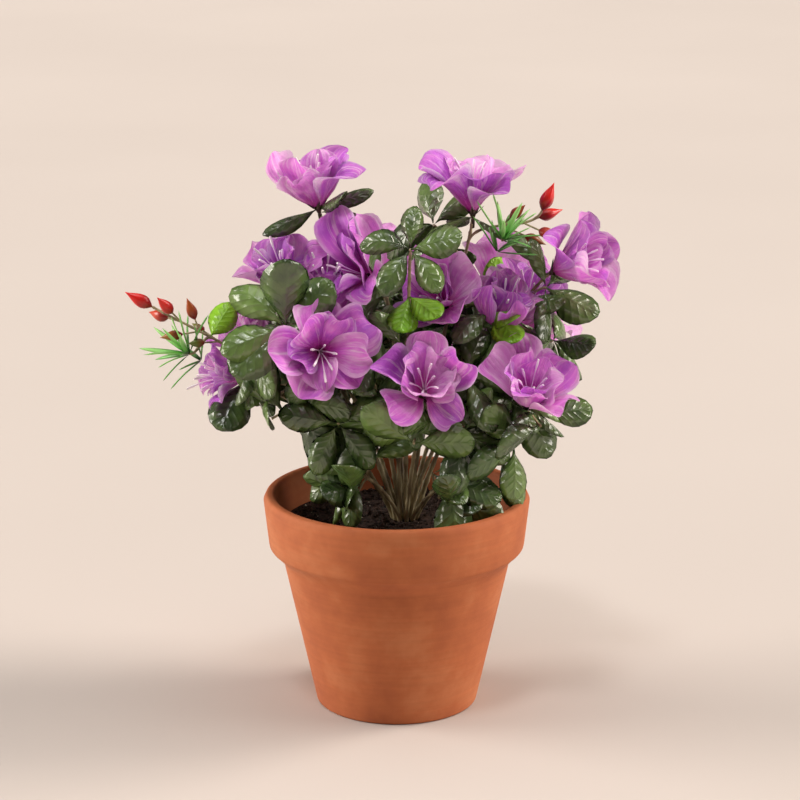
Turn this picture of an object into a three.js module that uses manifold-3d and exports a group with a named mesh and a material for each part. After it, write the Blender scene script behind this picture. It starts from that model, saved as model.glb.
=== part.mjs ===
// An artificial azalea in a clay pot. Wire stems rise from one clump in the soil, and each carries a
// spray of leaf rosettes and double blooms on short twigs. Millimetres, +Z up. The origin is the middle
// of the pot's flat foot, +X is to the right and -Y is the side the plant is seen from.
import * as THREE from 'three';
import { mergeVertices } from 'three/addons/utils/BufferGeometryUtils.js';
import Module from 'manifold-3d';

const wasm = await Module();
wasm.setup();

// ---------------------------------------------------------------- driving dimensions

const GAP = 0.3; // clearance between pieces that touch
const TRIM = 0.22; // the largest detail that is dropped where blades join

const pot = {
  height: 131,
  footRadius: 49,
  footRounding: 2,
  bodyTopRadius: 67.5, // where the body meets the underside of the band
  bodyTopHeight: 88,
  bandFootRadius: 77, // the band's lower outer corner
  bandFootHeight: 101,
  bandRadius: 80, // just under the lip, the widest part
  bandShoulder: 4, // how far below the lip the widest part lies
  lipThickness: 6,
  innerFloor: 9,
  innerFootRadius: 43,
  facets: 48,
};

const soil = {
  crown: 114, // flat middle, where the stems stand
  crownRadius: 20,
  edge: 111.5,
};

const clump = { x: 5, y: 0, outerRadius: 6.9, innerRadius: 3.1 }; // two rings of stem feet

const SIDES = 5; // of every twig and hub, and the number of blades in a whorl
const stem = { footRadius: 1.3, forkRadius: 1.0, tipRadius: 0.8, sides: 6, steps: 4 };
const FORK = 0.45; // the share of a stem's line that is bare bough; the rest is in its spray
const NECK = 22; // the longest stretch over which a stem turns towards the way that its tip faces
const twig = { radius: 0.8, steps: 2, stemSteps: 5, back: 0.16 };

// Blades grow from the five sides of a hub. `seat` is how far up the axis the hub sits, and `shape`
// gives steps along a blade's rib with shares of its half width. `tip` is the share at a blunt tip.
const leaf = {
  kind: 'leaf',
  length: 29,
  width: 0.6, // of its length
  thickness: 0.9,
  polar: 70, // degrees between a rosette's axis and its leaves
  bend: 38, // degrees that a leaf turns back over its length
  sag: 0.35,
  hub: { seat: 0, radius: 1.2, height: 1.4 },
  shape: [[7, 1]],
  tip: 0.55,
};
const bract = {
  kind: 'leaf',
  length: 24,
  width: 0.3,
  thickness: 0.9,
  polar: 98,
  bend: 30,
  sag: 0.2,
  hub: { seat: -3, radius: 1.3, height: 1.2 },
  bare: [1, 4], // sides of its hub that carry nothing
  turn: 25, // from the petals above it
  shape: [[6, 1]],
};
const petal = {
  kind: 'petal',
  thickness: 0.9,
  polar: 22, // degrees between a bloom's axis and its petals, at their roots
  width: 0.68, // of its length, on a wide open bloom
  roll: 20, // degrees that a petal turns on its rib, so that its neighbour's edge passes under it
  ease: 0.8, // a petal turns out early in its length
};
const outerPetal = {
  ...petal,
  spread: 1, // its share of the bloom's spread and petal length
  size: 1,
  turn: 0,
  hub: { seat: 1.5, radius: 1.9, height: 1.6 },
  shape: [[7, 0.96]],
  tip: 0.62,
};
const innerPetal = {
  ...petal,
  spread: 0.7,
  size: 0.84,
  turn: 36,
  hub: { seat: 6, radius: 1.6, height: 1.4 },
  shape: [[7, 0.96]],
  tip: 0.62,
};
const grass = {
  kind: 'leaf',
  length: 26,
  width: 0.09,
  thickness: 0.8,
  bend: 16,
  shape: [[4, 1]],
};
const tuftTiers = [
  { ...grass, polar: 66, hub: { seat: 0, radius: 1, height: 1 } },
  { ...grass, polar: 26, hub: { seat: 1.5, radius: 0.9, height: 0.8 } },
];
const bud = { length: 15, radius: 3.3, stalk: 6, splay: 38, sides: 4 };
const rosette = { twigLength: 17, ceiling: 246 };

const RIB_STEPS = 12; // steps in which a leaf's or petal's rib is traced
const room = { others: 2.6, own: 2.2, petals: 2.2, limbs: 1.8 }; // between markers of different blades
const SEED = 20261;

// ---------------------------------------------------------------- the plant, stem by stem

// A bloom is its calyx's place, the bearing and lift that it faces, its petal length and its spread.
// A rosette is its hub's place, the bearing and lift that it faces, and its leaf length.
// Bearings run anticlockwise from +X, seen from above. `leafy` counts further rosettes set by rule.
// A sprig is the place where a line of buds ends, how steeply it rises there, its bud pairs, and where
// a tuft of blades ends.
const outerSprays = [
  {
    name: 'right',
    blooms: [[92, 0, 266, -36, 30, 38, 66], [74, 24, 232, -50, 60, 34, 48]],
    rosettes: [[88, -2, 257, -50, 10, 26], [93, 6, 223, -20, 25, 30]],
    leafy: 4,
  },
  {
    name: 'right_back',
    blooms: [[72, 58, 212, 40, 30, 37, 70]],
    rosettes: [[72, 44, 180, 25, 0, 31]],
    leafy: 6,
  },
  {
    name: 'back_right',
    blooms: [[60, 74, 234, 52, 45, 38, 64], [40, 98, 196, 75, 12, 35, 74]],
    rosettes: [[50, 70, 172, 60, -5, 31]],
    leafy: 6,
  },
  {
    name: 'back',
    blooms: [[-12, 94, 222, 98, 28, 39, 72]],
    rosettes: [[-2, 84, 186, 90, 0, 31]],
    leafy: 7,
  },
  {
    name: 'back_left',
    blooms: [[-56, 60, 222, 138, 35, 38, 64]],
    rosettes: [[-48, 62, 184, 130, 0, 31]],
    leafy: 6,
  },
  {
    name: 'left',
    blooms: [[-90, 4, 200, -165, 12, 33, 52], [-84, 16, 216, -140, 52, 29, 42]],
    rosettes: [[-66, -26, 187, -95, 15, 34]],
    leafy: 4,
  },
  {
    name: 'bud_left',
    blooms: [],
    rosettes: [[-84, -20, 216, -150, 25, 25]],
    leafy: 3,
    sprig: { buds: [-142, -22, 250], rise: 0.6, pairs: 3, tuft: [-121, -26, 223] },
  },
  {
    name: 'front_left',
    blooms: [[-45, -32, 226, -82, 12, 42, 80]],
    rosettes: [
      [-64, -44, 243, -98, 24, 36],
      [-57, -28, 192, -112, 0, 31],
      [-34, -38, 184, -100, 10, 29],
    ],
    leafy: 3,
  },
  {
    name: 'low_left',
    blooms: [],
    rosettes: [[-25, -38, 154, -122, 14, 30], [-10, -38, 178, -95, 0, 29]],
    leafy: 3,
  },
  {
    name: 'front',
    blooms: [[16, -40, 202, -90, 38, 37, 62]],
    rosettes: [[10, -52, 176, -92, 5, 29], [40, -34, 212, -70, 30, 28]],
    leafy: 4,
  },
  {
    name: 'low_right',
    blooms: [],
    rosettes: [[31, -42, 150, -80, 22, 30], [38, -40, 180, -75, 15, 30]],
    leafy: 3,
  },
  {
    name: 'front_right',
    blooms: [[76, -34, 194, -80, 52, 38, 60]],
    rosettes: [[61, -27, 161, -62, 8, 31], [86, -26, 186, -40, -5, 32]],
    leafy: 4,
  },
];
const innerSprays = [
  {
    name: 'centre_right',
    blooms: [[60, -10, 234, -67, 66, 34, 34]],
    rosettes: [[58, -24, 208, -70, 30, 29]],
    leafy: 5,
  },
  {
    name: 'upper_right',
    blooms: [[45, 15, 298, -90, 84, 39, 76], [29, 2, 244, -112, 37, 37, 66]],
    rosettes: [[22, 30, 288, -130, 30, 32]],
    leafy: 4,
    sprig: { buds: [85, 2, 302], rise: 2.4, pairs: 2, tuft: [62, -6, 287] },
  },
  {
    name: 'upper_back',
    blooms: [[-8, 60, 246, 90, 48, 38, 66]],
    rosettes: [[18, 58, 262, 80, 35, 29]],
    leafy: 6,
  },
  {
    name: 'upper_left',
    blooms: [[-46, 10, 302, -150, 76, 34, 60], [-63, 4, 254, -132, 58, 34, 54]],
    rosettes: [],
    leafy: 5,
  },
  {
    name: 'heart',
    blooms: [[-14, -2, 263, -138, 16, 42, 84], [-42, -6, 247, -82, 70, 27, 30]],
    rosettes: [[-14, -24, 226, -90, 30, 28]],
    leafy: 5,
  },
  { name: 'upper_front', blooms: [], rosettes: [[8, -40, 288, -88, 30, 28]], leafy: 5 },
];

// ---------------------------------------------------------------- small helpers

const radians = THREE.MathUtils.degToRad;
const lerp = THREE.MathUtils.lerp;
const vector = (x, y, z) => new THREE.Vector3(x, y, z);
const beyond = (from, way, distance) => from.clone().addScaledVector(way, distance);

// Draws in [0, 1) from a seeded sequence.
function seededDraw(seed) {
  let state = (SEED + 40503 * seed) % 4294967296;
  return () => {
    state = (state * 1664525 + 1013904223) % 4294967296;
    return state / 4294967296;
  };
}

function facing(bearing, lift) {
  const b = radians(bearing);
  const l = radians(lift);
  return vector(Math.cos(b) * Math.cos(l), Math.sin(b) * Math.cos(l), Math.sin(l));
}

// Two unit directions square to an axis, the first of them level.
function across(axis) {
  const level = vector(-axis.y, axis.x, 0);
  if (level.length() < 1e-3) level.set(1, 0, 0);
  level.normalize();
  return [level, axis.clone().cross(level)];
}

// The way out from an axis at a turn round it, in degrees.
function outward(axis, turn) {
  const [level, rise] = across(axis);
  const a = radians(turn);
  return level.multiplyScalar(Math.cos(a)).addScaledVector(rise, Math.sin(a));
}

function growth(curve, t) {
  const step = 0.001;
  return curve.getPoint(Math.min(t + step, 1)).sub(curve.getPoint(Math.max(t - step, 0))).normalize();
}

// ---------------------------------------------------------------- the layout

// The curve of a stem from its foot to a tip that faces a given way.
function stemCurve(foot, tip, face) {
  const low = vector(lerp(foot.x, tip.x, 0.2), lerp(foot.y, tip.y, 0.2), lerp(foot.z, tip.z, 0.45));
  const high = beyond(tip, face, -Math.min(NECK, 0.28 * foot.distanceTo(tip)));
  return new THREE.CubicBezierCurve3(foot, low, high, tip);
}

// The curve of a twig that leaves a limb along its growth and turns to a tip that faces a given way.
function twigCurve(parent, t, tip, face) {
  const root = parent.getPoint(t);
  const reach = root.distanceTo(tip);
  const low = beyond(root, growth(parent, t), 0.35 * reach);
  return new THREE.CubicBezierCurve3(root, low, beyond(tip, face, -Math.min(NECK, 0.3 * reach)), tip);
}

// Where a twig for a given tip leaves a stem: a little below the nearest place in its leafy stretch.
function twigShare(curve, tip) {
  let best = FORK;
  for (let i = 1; i <= 25; i++) {
    const t = lerp(FORK, 0.97, i / 25);
    if (curve.getPoint(t).distanceTo(tip) < curve.getPoint(best).distanceTo(tip)) best = t;
  }
  return Math.max(FORK + 0.03, best - twig.back);
}

// The rib of a blade: places with the way that it runs and the way that its top faces.
function rib({ root, out, top, length, bend, roll = 0, sag = 0, ease = 1 }) {
  const level = top.clone().cross(out).normalize();
  const r = radians(roll);
  const at = root.clone();
  const stations = [];
  for (let i = 0; i <= RIB_STEPS; i++) {
    const share = i / RIB_STEPS;
    const turn = radians(bend) * share ** ease;
    const run = out.clone().multiplyScalar(Math.cos(turn)).addScaledVector(top, -Math.sin(turn));
    run.z -= sag * share;
    run.normalize();
    const rise = run.clone().cross(level).normalize();
    const side = level.clone().multiplyScalar(Math.cos(r)).addScaledVector(rise, Math.sin(r));
    stations.push({ at: at.clone(), run, side, normal: run.clone().cross(side) });
    at.addScaledVector(run, length / RIB_STEPS);
  }
  return stations;
}

// A blade that leaves a hub at a turn round its axis.
function blade(hub, axis, turn, form, { polar, length, width = form.width, ...rest }) {
  const away = outward(axis, turn);
  const p = radians(polar);
  return {
    root: beyond(beyond(hub, axis, form.hub.seat), away, form.hub.radius),
    out: away.clone().multiplyScalar(Math.sin(p)).addScaledVector(axis, Math.cos(p)),
    top: axis.clone().multiplyScalar(Math.sin(p)).addScaledVector(away, -Math.cos(p)),
    length,
    halfWidth: (width * length) / 2,
    ...rest,
  };
}

// Points that stand for a blade in the tests that keep blades apart.
function markers(piece) {
  const stations = rib(piece);
  const along = [4, 6, 8, 10, 12].map((i) => stations[i].at.clone());
  const edges = [6, 9].flatMap((i) =>
    [-1, 1].map((s) => beyond(stations[i].at, stations[i].side, s * piece.halfWidth)),
  );
  return [...along, ...edges];
}

// A whorl of blades round an axis, each with small departures of its own.
function whorl(hub, axis, form, start, draw, shapeOf) {
  const blades = Array.from({ length: SIDES }, (_, i) => {
    const turn = start + (360 * i) / SIDES + 8 * (draw() - 0.5);
    return blade(hub, axis, turn, form, shapeOf());
  });
  for (const i of form.bare ?? []) blades[i].bare = true;
  return { hub, axis, form, start, blades };
}

function bloomTiers(calyx, axis, length, spread, draw) {
  const start = 360 * draw();
  const under = whorl(calyx, axis, bract, start + bract.turn, draw, () => ({
    polar: bract.polar,
    length: bract.length * (0.85 + 0.3 * draw()),
    bend: bract.bend,
    sag: bract.sag,
  }));
  const petals = [outerPetal, innerPetal].map((form) =>
    whorl(calyx, axis, form, start + form.turn, draw, () => ({
      polar: form.polar * form.spread,
      length: length * form.size * (0.94 + 0.12 * draw()),
      width: form.width * Math.min(1, 0.35 + spread / 100),
      bend: (spread - form.polar) * form.spread + 10 * (draw() - 0.5),
      roll: form.roll,
      ease: form.ease,
    })),
  );
  return [under, ...petals];
}

function rosetteTiers(hub, axis, length, draw) {
  const shapeOf = () => ({
    length: length * (0.88 + 0.24 * draw()),
    polar: leaf.polar + 16 * (draw() - 0.5),
    bend: leaf.bend * (0.6 + 0.8 * draw()),
    sag: 2 * leaf.sag * draw(),
  });
  return [whorl(hub, axis, leaf, 360 * draw(), draw, shapeOf)];
}

function grassTiers(hub, axis, draw) {
  return tuftTiers.map((form, i) =>
    whorl(hub, axis, form, 36 * i, draw, () => ({
      length: form.length * (0.75 + 0.4 * draw()),
      polar: form.polar * (0.8 + 0.4 * draw()),
      bend: form.bend,
    })),
  );
}

// The rosettes that the rule adds, turning by the golden angle up the leafy part of a stem.
function ruledRosettes(curve, count, draw) {
  const start = 360 * draw();
  return Array.from({ length: count }, (_, i) => {
    const t = lerp(FORK + 0.02, 0.92, (i + 0.4) / count);
    const at = curve.getPoint(t);
    const along = growth(curve, t);
    const open = vector(at.x - clump.x, at.y - clump.y, 0).normalize();
    const face = outward(along, start + 137.5 * i).multiplyScalar(0.8);
    face.addScaledVector(along, 0.25).addScaledVector(open, 0.6).normalize();
    const hub = beyond(at, face, rosette.twigLength * (0.8 + 0.5 * draw()));
    return { t, hub, face, length: leaf.length * (0.85 + 0.25 * draw()) };
  });
}

function budsAlong(curve, pairs, draw) {
  const found = [{ root: curve.getPoint(1), run: growth(curve, 1), length: bud.length, stalk: 0 }];
  for (let i = 0; i < pairs; i++) {
    const t = 0.95 - (0.5 * (i + 0.5)) / pairs;
    for (const turn of [0, 180]) {
      const along = growth(curve, t);
      const away = outward(along, turn + 70 * i + 50 * draw());
      const s = radians(bud.splay * (0.8 + 0.4 * draw()));
      const run = along.multiplyScalar(Math.cos(s)).addScaledVector(away, Math.sin(s)).normalize();
      found.push({
        root: curve.getPoint(t),
        run,
        length: bud.length * (0.9 - 0.12 * i),
        stalk: bud.stalk * (0.8 + 0.9 * draw()),
      });
    }
  }
  return found;
}

// Everything that a spray may grow, before the tests that keep sprays apart. Its first shoot is the
// end of its stem; the others are twigs.
function layOut(spray, foot, seed) {
  const draw = seededDraw(seed);
  const [x, y, z, bearing, lift] = spray.blooms[0] ?? spray.rosettes[0];
  const curve = stemCurve(foot, vector(x, y, z), facing(bearing, lift));
  const shoots = [];
  const twigTo = (hub, axis) =>
    shoots.length === 0 ? curve : twigCurve(curve, twigShare(curve, hub), hub, axis);
  for (const [bx, by, bz, turn, rise, length, spread] of spray.blooms) {
    const hub = vector(bx, by, bz);
    const axis = facing(turn, rise);
    const line = twigTo(hub, axis);
    shoots.push({ kind: 'bloom', line, tiers: bloomTiers(hub, axis, length, spread, draw) });
  }
  for (const [hx, hy, hz, turn, rise, length] of spray.rosettes) {
    const hub = vector(hx, hy, hz);
    const axis = facing(turn, rise);
    const line = twigTo(hub, axis);
    shoots.push({ kind: 'leaf', line, tiers: rosetteTiers(hub, axis, length, draw) });
  }
  if (spray.sprig) {
    const end = vector(...spray.sprig.buds);
    const tip = vector(end.x - clump.x, end.y - clump.y, 0).normalize();
    tip.setZ(spray.sprig.rise).normalize();
    const line = twigTo(end, tip);
    shoots.push({ kind: 'buds', line, tiers: [], buds: budsAlong(line, spray.sprig.pairs, draw) });
    const heart = vector(...spray.sprig.tuft);
    const side = twigCurve(line, 0.5, heart, tip);
    shoots.push({ kind: 'tuft', line: side, on: shoots.at(-1), tiers: grassTiers(heart, tip, draw) });
  }
  for (const { t, hub, face, length } of ruledRosettes(curve, spray.leafy, draw)) {
    const tiers = rosetteTiers(hub, face, length, draw);
    if (hub.z > rosette.ceiling) continue;
    shoots.push({ kind: 'leaf', ruled: true, line: twigCurve(curve, t, hub, face), tiers });
  }
  return { name: spray.name, curve, shoots };
}

// The feet of a ring of stems stand evenly round the clump, turned to suit the places they lead to.
function feetOf(sprays, radius) {
  const even = (i) => (2 * Math.PI * i) / sprays.length;
  const total = vector(0, 0, 0);
  sprays.forEach(({ blooms, rosettes }, i) => {
    const [x, y] = blooms[0] ?? rosettes[0];
    const off = Math.atan2(y - clump.y, x - clump.x) - even(i);
    total.add(vector(Math.cos(off), Math.sin(off), 0));
  });
  const turn = Math.atan2(total.y, total.x);
  return sprays.map((_, i) =>
    vector(
      clump.x + radius * Math.cos(turn + even(i)),
      clump.y + radius * Math.sin(turn + even(i)),
      soil.crown + GAP,
    ),
  );
}

const feet = [...feetOf(outerSprays, clump.outerRadius), ...feetOf(innerSprays, clump.innerRadius)];
const sprays = [...outerSprays, ...innerSprays].map((spray, i) => layOut(spray, feet[i], i + 1));

const taken = []; // { owner, kind, point } for each marker of what is already in place

function take(owner, kind, points) {
  for (const point of points) taken.push({ owner, kind, point });
}

// How far a new marker keeps from one that is in place.
function roomFor(owner, kind, mark) {
  if (kind === 'petal') return mark.kind === 'petal' && mark.owner !== owner ? room.petals : 0;
  if (mark.kind === 'limb') return mark.owner === owner ? 0 : room.limbs;
  return mark.owner === owner ? room.own : room.others;
}

function isClear(owner, kind, points) {
  return taken.every((mark) => {
    const away = roomFor(owner, kind, mark);
    return away === 0 || points.every((point) => point.distanceTo(mark.point) >= away);
  });
}

function limbMarkers(line, from) {
  return Array.from({ length: 25 }, (_, i) => line.getPoint(lerp(from, 1, i / 24)));
}

// The order in which shoots claim their space.
const passes = [
  ({ kind }) => kind === 'bloom',
  ({ kind }) => kind === 'buds' || kind === 'tuft',
  ({ kind, ruled }) => kind === 'leaf' && !ruled,
  ({ ruled }) => ruled,
];

// Keeps the blades that stay out of the other sprays' space.
function keepApart() {
  for (const { name, curve } of sprays) take(name, 'limb', limbMarkers(curve, 0));
  for (const chosen of passes) {
    for (const { name, shoots } of sprays) {
      for (const shoot of shoots.filter(chosen)) {
        const line = limbMarkers(shoot.line, 0.2);
        shoot.kept = !shoot.ruled || isClear(name, 'limb', line);
        if (!shoot.kept) continue;
        take(name, 'limb', line);
        for (const { form, blades } of shoot.tiers) {
          for (const piece of blades) {
            const points = markers(piece);
            piece.kept = !piece.bare && isClear(name, form.kind, points);
            if (piece.kept) take(name, form.kind, points);
          }
        }
      }
    }
  }
}

keepApart();

// ---------------------------------------------------------------- solids

function solidOf(geometry) {
  const bare = geometry.clone();
  bare.deleteAttribute('normal');
  bare.deleteAttribute('uv');
  const merged = mergeVertices(bare, 1e-3);
  return new wasm.Manifold(
    new wasm.Mesh({
      numProp: 3,
      vertProperties: new Float32Array(merged.attributes.position.array),
      triVerts: new Uint32Array(merged.index.array),
    }),
  );
}

// A closed skin, gathered triangle by triangle with its faces pointing out.
class Skin {
  constructor() {
    this.corners = [];
  }

  face(a, ...rest) {
    for (let i = 0; i + 1 < rest.length; i++) this.corners.push(a, rest[i], rest[i + 1]);
  }

  // The band between two rings that turn anticlockwise about the way from one to the other.
  band(low, high) {
    low.forEach((_, k) => {
      const next = (k + 1) % low.length;
      this.face(low[k], low[next], high[next], high[k]);
    });
  }

  point(ring, tip) {
    ring.forEach((_, k) => this.face(ring[k], ring[(k + 1) % ring.length], tip));
  }

  solid() {
    return solidOf(new THREE.BufferGeometry().setFromPoints(this.corners));
  }
}

// The corners of a regular section across a limb, the first of them towards `level`.
function section(at, run, level, radius, sides) {
  const other = run.clone().cross(level);
  return Array.from({ length: sides }, (_, k) => {
    const a = (2 * Math.PI * k) / sides;
    return beyond(beyond(at, level, radius * Math.cos(a)), other, radius * Math.sin(a));
  });
}

// The sections of a limb between two shares of its line. They are traced back from the far end, where
// the first corner points to `level`.
function limbRings(line, from, to, steps, radii, level, sides) {
  const rings = [];
  let turned = level;
  for (let i = steps; i >= 0; i--) {
    const t = lerp(from, to, i / steps);
    const run = t === 0 && from === 0 && sides === stem.sides ? vector(0, 0, 1) : growth(line, t);
    turned = beyond(turned, run, -turned.dot(run)).normalize();
    rings.unshift(section(line.getPoint(t), run, turned, lerp(radii[0], radii[1], i / steps), sides));
  }
  return rings;
}

// The rings of a thin blade. Near its hub it stays within its own share of the whorl.
function bladeRings(piece, { hub, axis, form }) {
  const stations = rib(piece);
  const wedge = Math.sin(Math.PI / SIDES);
  return form.shape.map(([step, share], i) => {
    const { at, side, normal } = stations[step];
    const reach = at.clone().sub(hub);
    const radius = reach.addScaledVector(axis, -reach.dot(axis)).length();
    const slack = i + 1 < form.shape.length ? 0.84 : 1.3;
    const half = Math.min(piece.halfWidth * share, slack * wedge * radius);
    return [[1, -1], [1, 1], [-1, 1], [-1, -1]].map(([s, n]) =>
      beyond(beyond(at, side, s * half), normal, (n * form.thickness) / 2),
    );
  });
}

// The corners of a hub's lower or upper edge.
function hubRing({ hub, axis, form, start }, up) {
  const middle = beyond(hub, axis, form.hub.seat + (up * form.hub.height) / 2);
  const level = outward(axis, start + 180 / SIDES);
  return section(middle, axis, level, form.hub.radius, SIDES);
}

// The corners of a hub's sides, in the order of a blade's ring.
function hubSides(tier) {
  const low = hubRing(tier, -1);
  const high = hubRing(tier, 1);
  return tier.blades.map((_, i) => {
    const before = (i + SIDES - 1) % SIDES;
    return [low[i], high[i], high[before], low[before]];
  });
}

function growBlade(skin, base, piece, tier) {
  const rings = [base, ...bladeRings(piece, tier)];
  for (let r = 0; r + 1 < rings.length; r++) skin.band(rings[r], rings[r + 1]);
  const last = rings.at(-1);
  const { at, side } = rib(piece)[RIB_STEPS];
  if (!tier.form.tip) return skin.point(last, at);
  const half = (last[0].distanceTo(last[3]) / 2) * tier.form.tip;
  const right = beyond(at, side, half);
  const left = beyond(at, side, -half);
  skin.face(last[0], last[1], right);
  skin.face(last[1], last[2], left, right);
  skin.face(last[2], last[3], left);
  skin.face(last[3], last[0], right, left);
}

// A limb with whorls of blades at its end, as one closed skin.
function shootSolid(rings, tiers) {
  const skin = new Skin();
  skin.face(...rings[0].toReversed());
  for (let r = 0; r + 1 < rings.length; r++) skin.band(rings[r], rings[r + 1]);
  let last = rings.at(-1);
  for (const tier of tiers) {
    skin.band(last, hubRing(tier, -1));
    hubSides(tier).forEach((side, i) => {
      if (tier.blades[i].kept) growBlade(skin, side, tier.blades[i], tier);
      else skin.face(...side);
    });
    last = hubRing(tier, 1);
  }
  skin.face(...last);
  return skin.solid();
}

// One blade by itself, from its hub's side to its tip.
function bladeSolid(piece, side, tier) {
  const skin = new Skin();
  skin.face(...side.toReversed());
  growBlade(skin, side, piece, tier);
  return skin.solid();
}

// A bud on its stalk.
function budSolid({ root, run, length, stalk }) {
  const girth = bud.radius * (length / bud.length);
  const outline = [[0, 0.2], [0.34, 1], [0.7, 0.7]].map(([s, r]) => [stalk + s * length, r * girth]);
  if (stalk) outline.unshift([0, 0.6]);
  const level = across(run)[0];
  const rings = outline.map(([d, r]) => section(beyond(root, run, d), run, level, r, bud.sides));
  const skin = new Skin();
  skin.face(...rings[0].toReversed());
  for (let r = 0; r + 1 < rings.length; r++) skin.band(rings[r], rings[r + 1]);
  skin.point(rings.at(-1), beyond(root, run, stalk + length));
  return skin.solid();
}

const largestBody = (solid) =>
  solid.decompose().reduce((best, body) => (body.volume() > best.volume() ? body : best));

function geometryOf(solid) {
  const { vertProperties, triVerts } = solid.getMesh();
  const geometry = new THREE.BufferGeometry();
  geometry.setAttribute('position', new THREE.BufferAttribute(vertProperties, 3));
  geometry.setIndex(new THREE.BufferAttribute(triVerts, 1));
  return geometry;
}

// Joins solids into one closed body. Loose scraps are dropped and sealed hollows are filled.
function fused(solids) {
  const trimmed = largestBody(wasm.Manifold.union(solids)).simplify(TRIM);
  return largestBody(solidOf(geometryOf(largestBody(trimmed))));
}

function revolved(profile) {
  const points = profile.map(([r, z]) => new THREE.Vector2(r, z));
  return solidOf(new THREE.LatheGeometry(points, pot.facets).rotateX(Math.PI / 2));
}

function potSolid() {
  const lip = pot.bandRadius - 1;
  const inner = lip - pot.lipThickness;
  return revolved([
    [0, 0],
    [pot.footRadius - pot.footRounding, 0],
    [pot.footRadius, pot.footRounding],
    [pot.bodyTopRadius, pot.bodyTopHeight],
    [pot.bodyTopRadius + 2, pot.bodyTopHeight + 3],
    [pot.bandFootRadius - 2, pot.bandFootHeight - 4],
    [pot.bandFootRadius, pot.bandFootHeight],
    [pot.bandRadius, pot.height - pot.bandShoulder],
    [lip, pot.height - 1],
    [lip - 1.5, pot.height],
    [inner + 1.5, pot.height],
    [inner, pot.height - 1.5],
    [pot.innerFootRadius, pot.innerFloor],
    [0, pot.innerFloor],
  ]);
}

// The radius of the pot's inner wall at a height.
function innerWall(z) {
  const top = pot.bandRadius - 1 - pot.lipThickness;
  return lerp(pot.innerFootRadius, top, (z - pot.innerFloor) / (pot.height - 1.5 - pot.innerFloor));
}

function soilSolid() {
  const foot = pot.innerFloor + GAP;
  const slack = 1.2 * GAP; // level, past the slant of the wall
  return revolved([
    [0, foot],
    [innerWall(foot) - slack, foot],
    [innerWall(soil.edge) - slack, soil.edge],
    [soil.crownRadius + 22, soil.edge + 0.6],
    [soil.crownRadius, soil.crown],
    [0, soil.crown],
  ]);
}

// ---------------------------------------------------------------- nodes

const finishes = {
  clay: new THREE.MeshStandardMaterial({ color: 0xc46f42, roughness: 0.85, metalness: 0 }),
  soil: new THREE.MeshStandardMaterial({ color: 0x2b1d18, roughness: 0.95, metalness: 0 }),
  stem: new THREE.MeshStandardMaterial({ color: 0x6a5a3c, roughness: 0.6, metalness: 0 }),
  leafy: new THREE.MeshStandardMaterial({ color: 0x35502c, roughness: 0.35, metalness: 0 }),
};

const plant = new THREE.Group();

function addNode(name, solid, material) {
  const mesh = new THREE.Mesh(geometryOf(solid).toNonIndexed(), material);
  mesh.geometry.computeVertexNormals();
  mesh.name = name;
  plant.add(mesh);
}

const potBody = potSolid();
const soilBody = soilSolid();
addNode('pot', potBody, finishes.clay);
addNode('soil', soilBody, finishes.soil);

const grown = []; // { solid, box, part } for what is already in place

function grow(solid, part) {
  grown.push({ solid, box: solid.boundingBox(), part });
}

// Whether a solid keeps its clearance from everything so far, save the parts that carry it.
function fits(solid, ...carriers) {
  const { min, max } = solid.boundingBox();
  return grown.every(
    ({ solid: other, box, part }) =>
      carriers.includes(part) ||
      [0, 1, 2].some((i) => min[i] - GAP > box.max[i] || box.min[i] - GAP > max[i]) ||
      solid.minGap(other, 2 * GAP) >= GAP,
  );
}

// The share of a line that lies a given distance past another share.
function shareBeyond(line, t, distance) {
  const step = 0.001;
  return t + (distance * step) / line.getPoint(t + step).distanceTo(line.getPoint(t));
}

// The rings of the limb that carries a shoot's whorls, from its bough's tip or inside its parent.
function shootRings({ line, tiers }, onBough) {
  const [tier] = tiers;
  const to = tier ? shareBeyond(line, 0.998, tier.form.hub.seat - tier.form.hub.height / 2 - 0.7) : 1;
  const level = tier ? outward(tier.axis, tier.start + 180 / SIDES) : across(growth(line, 1))[0];
  if (!onBough) return limbRings(line, 0, to, twig.steps, [twig.radius, twig.radius], level, SIDES);
  const from = shareBeyond(line, FORK, GAP);
  return limbRings(line, from, to, twig.stemSteps, [stem.forkRadius, stem.tipRadius], level, SIDES);
}

grow(potBody);
grow(soilBody);
for (const spray of sprays) {
  const { curve } = spray;
  const level = across(growth(curve, FORK))[0];
  const radii = [stem.footRadius, stem.forkRadius];
  const rings = limbRings(curve, 0, FORK, stem.steps, radii, level, stem.sides);
  spray.bough = shootSolid(rings, []);
  grow(spray.bough, spray);
}
for (const { shoots } of sprays) {
  shoots.forEach((shoot, i) => {
    shoot.rings = shootRings(shoot, i === 0);
    if (i === 0) grow(shootSolid(shoot.rings, []), shoot);
  });
}

// Twigs, blades and buds are left out where they would touch something that is already in place.
function placeTwig({ shoots }, shoot) {
  if (shoot === shoots[0] || !shoot.kept) return;
  const solid = shootSolid(shoot.rings, []);
  shoot.kept = fits(solid, shoot.on ?? shoots[0]);
  if (shoot.kept) grow(solid, shoot);
}

function placeBlades(shoot) {
  for (const tier of shoot.tiers) {
    const sides = hubSides(tier);
    tier.blades.forEach((piece, i) => {
      if (!piece.kept) return;
      const solid = bladeSolid(piece, sides[i], tier);
      piece.kept = fits(solid, shoot);
      if (piece.kept) grow(solid, shoot);
    });
  }
  shoot.buds = (shoot.buds ?? []).map(budSolid).filter((solid) => fits(solid, shoot));
  for (const solid of shoot.buds) grow(solid, shoot);
}

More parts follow.
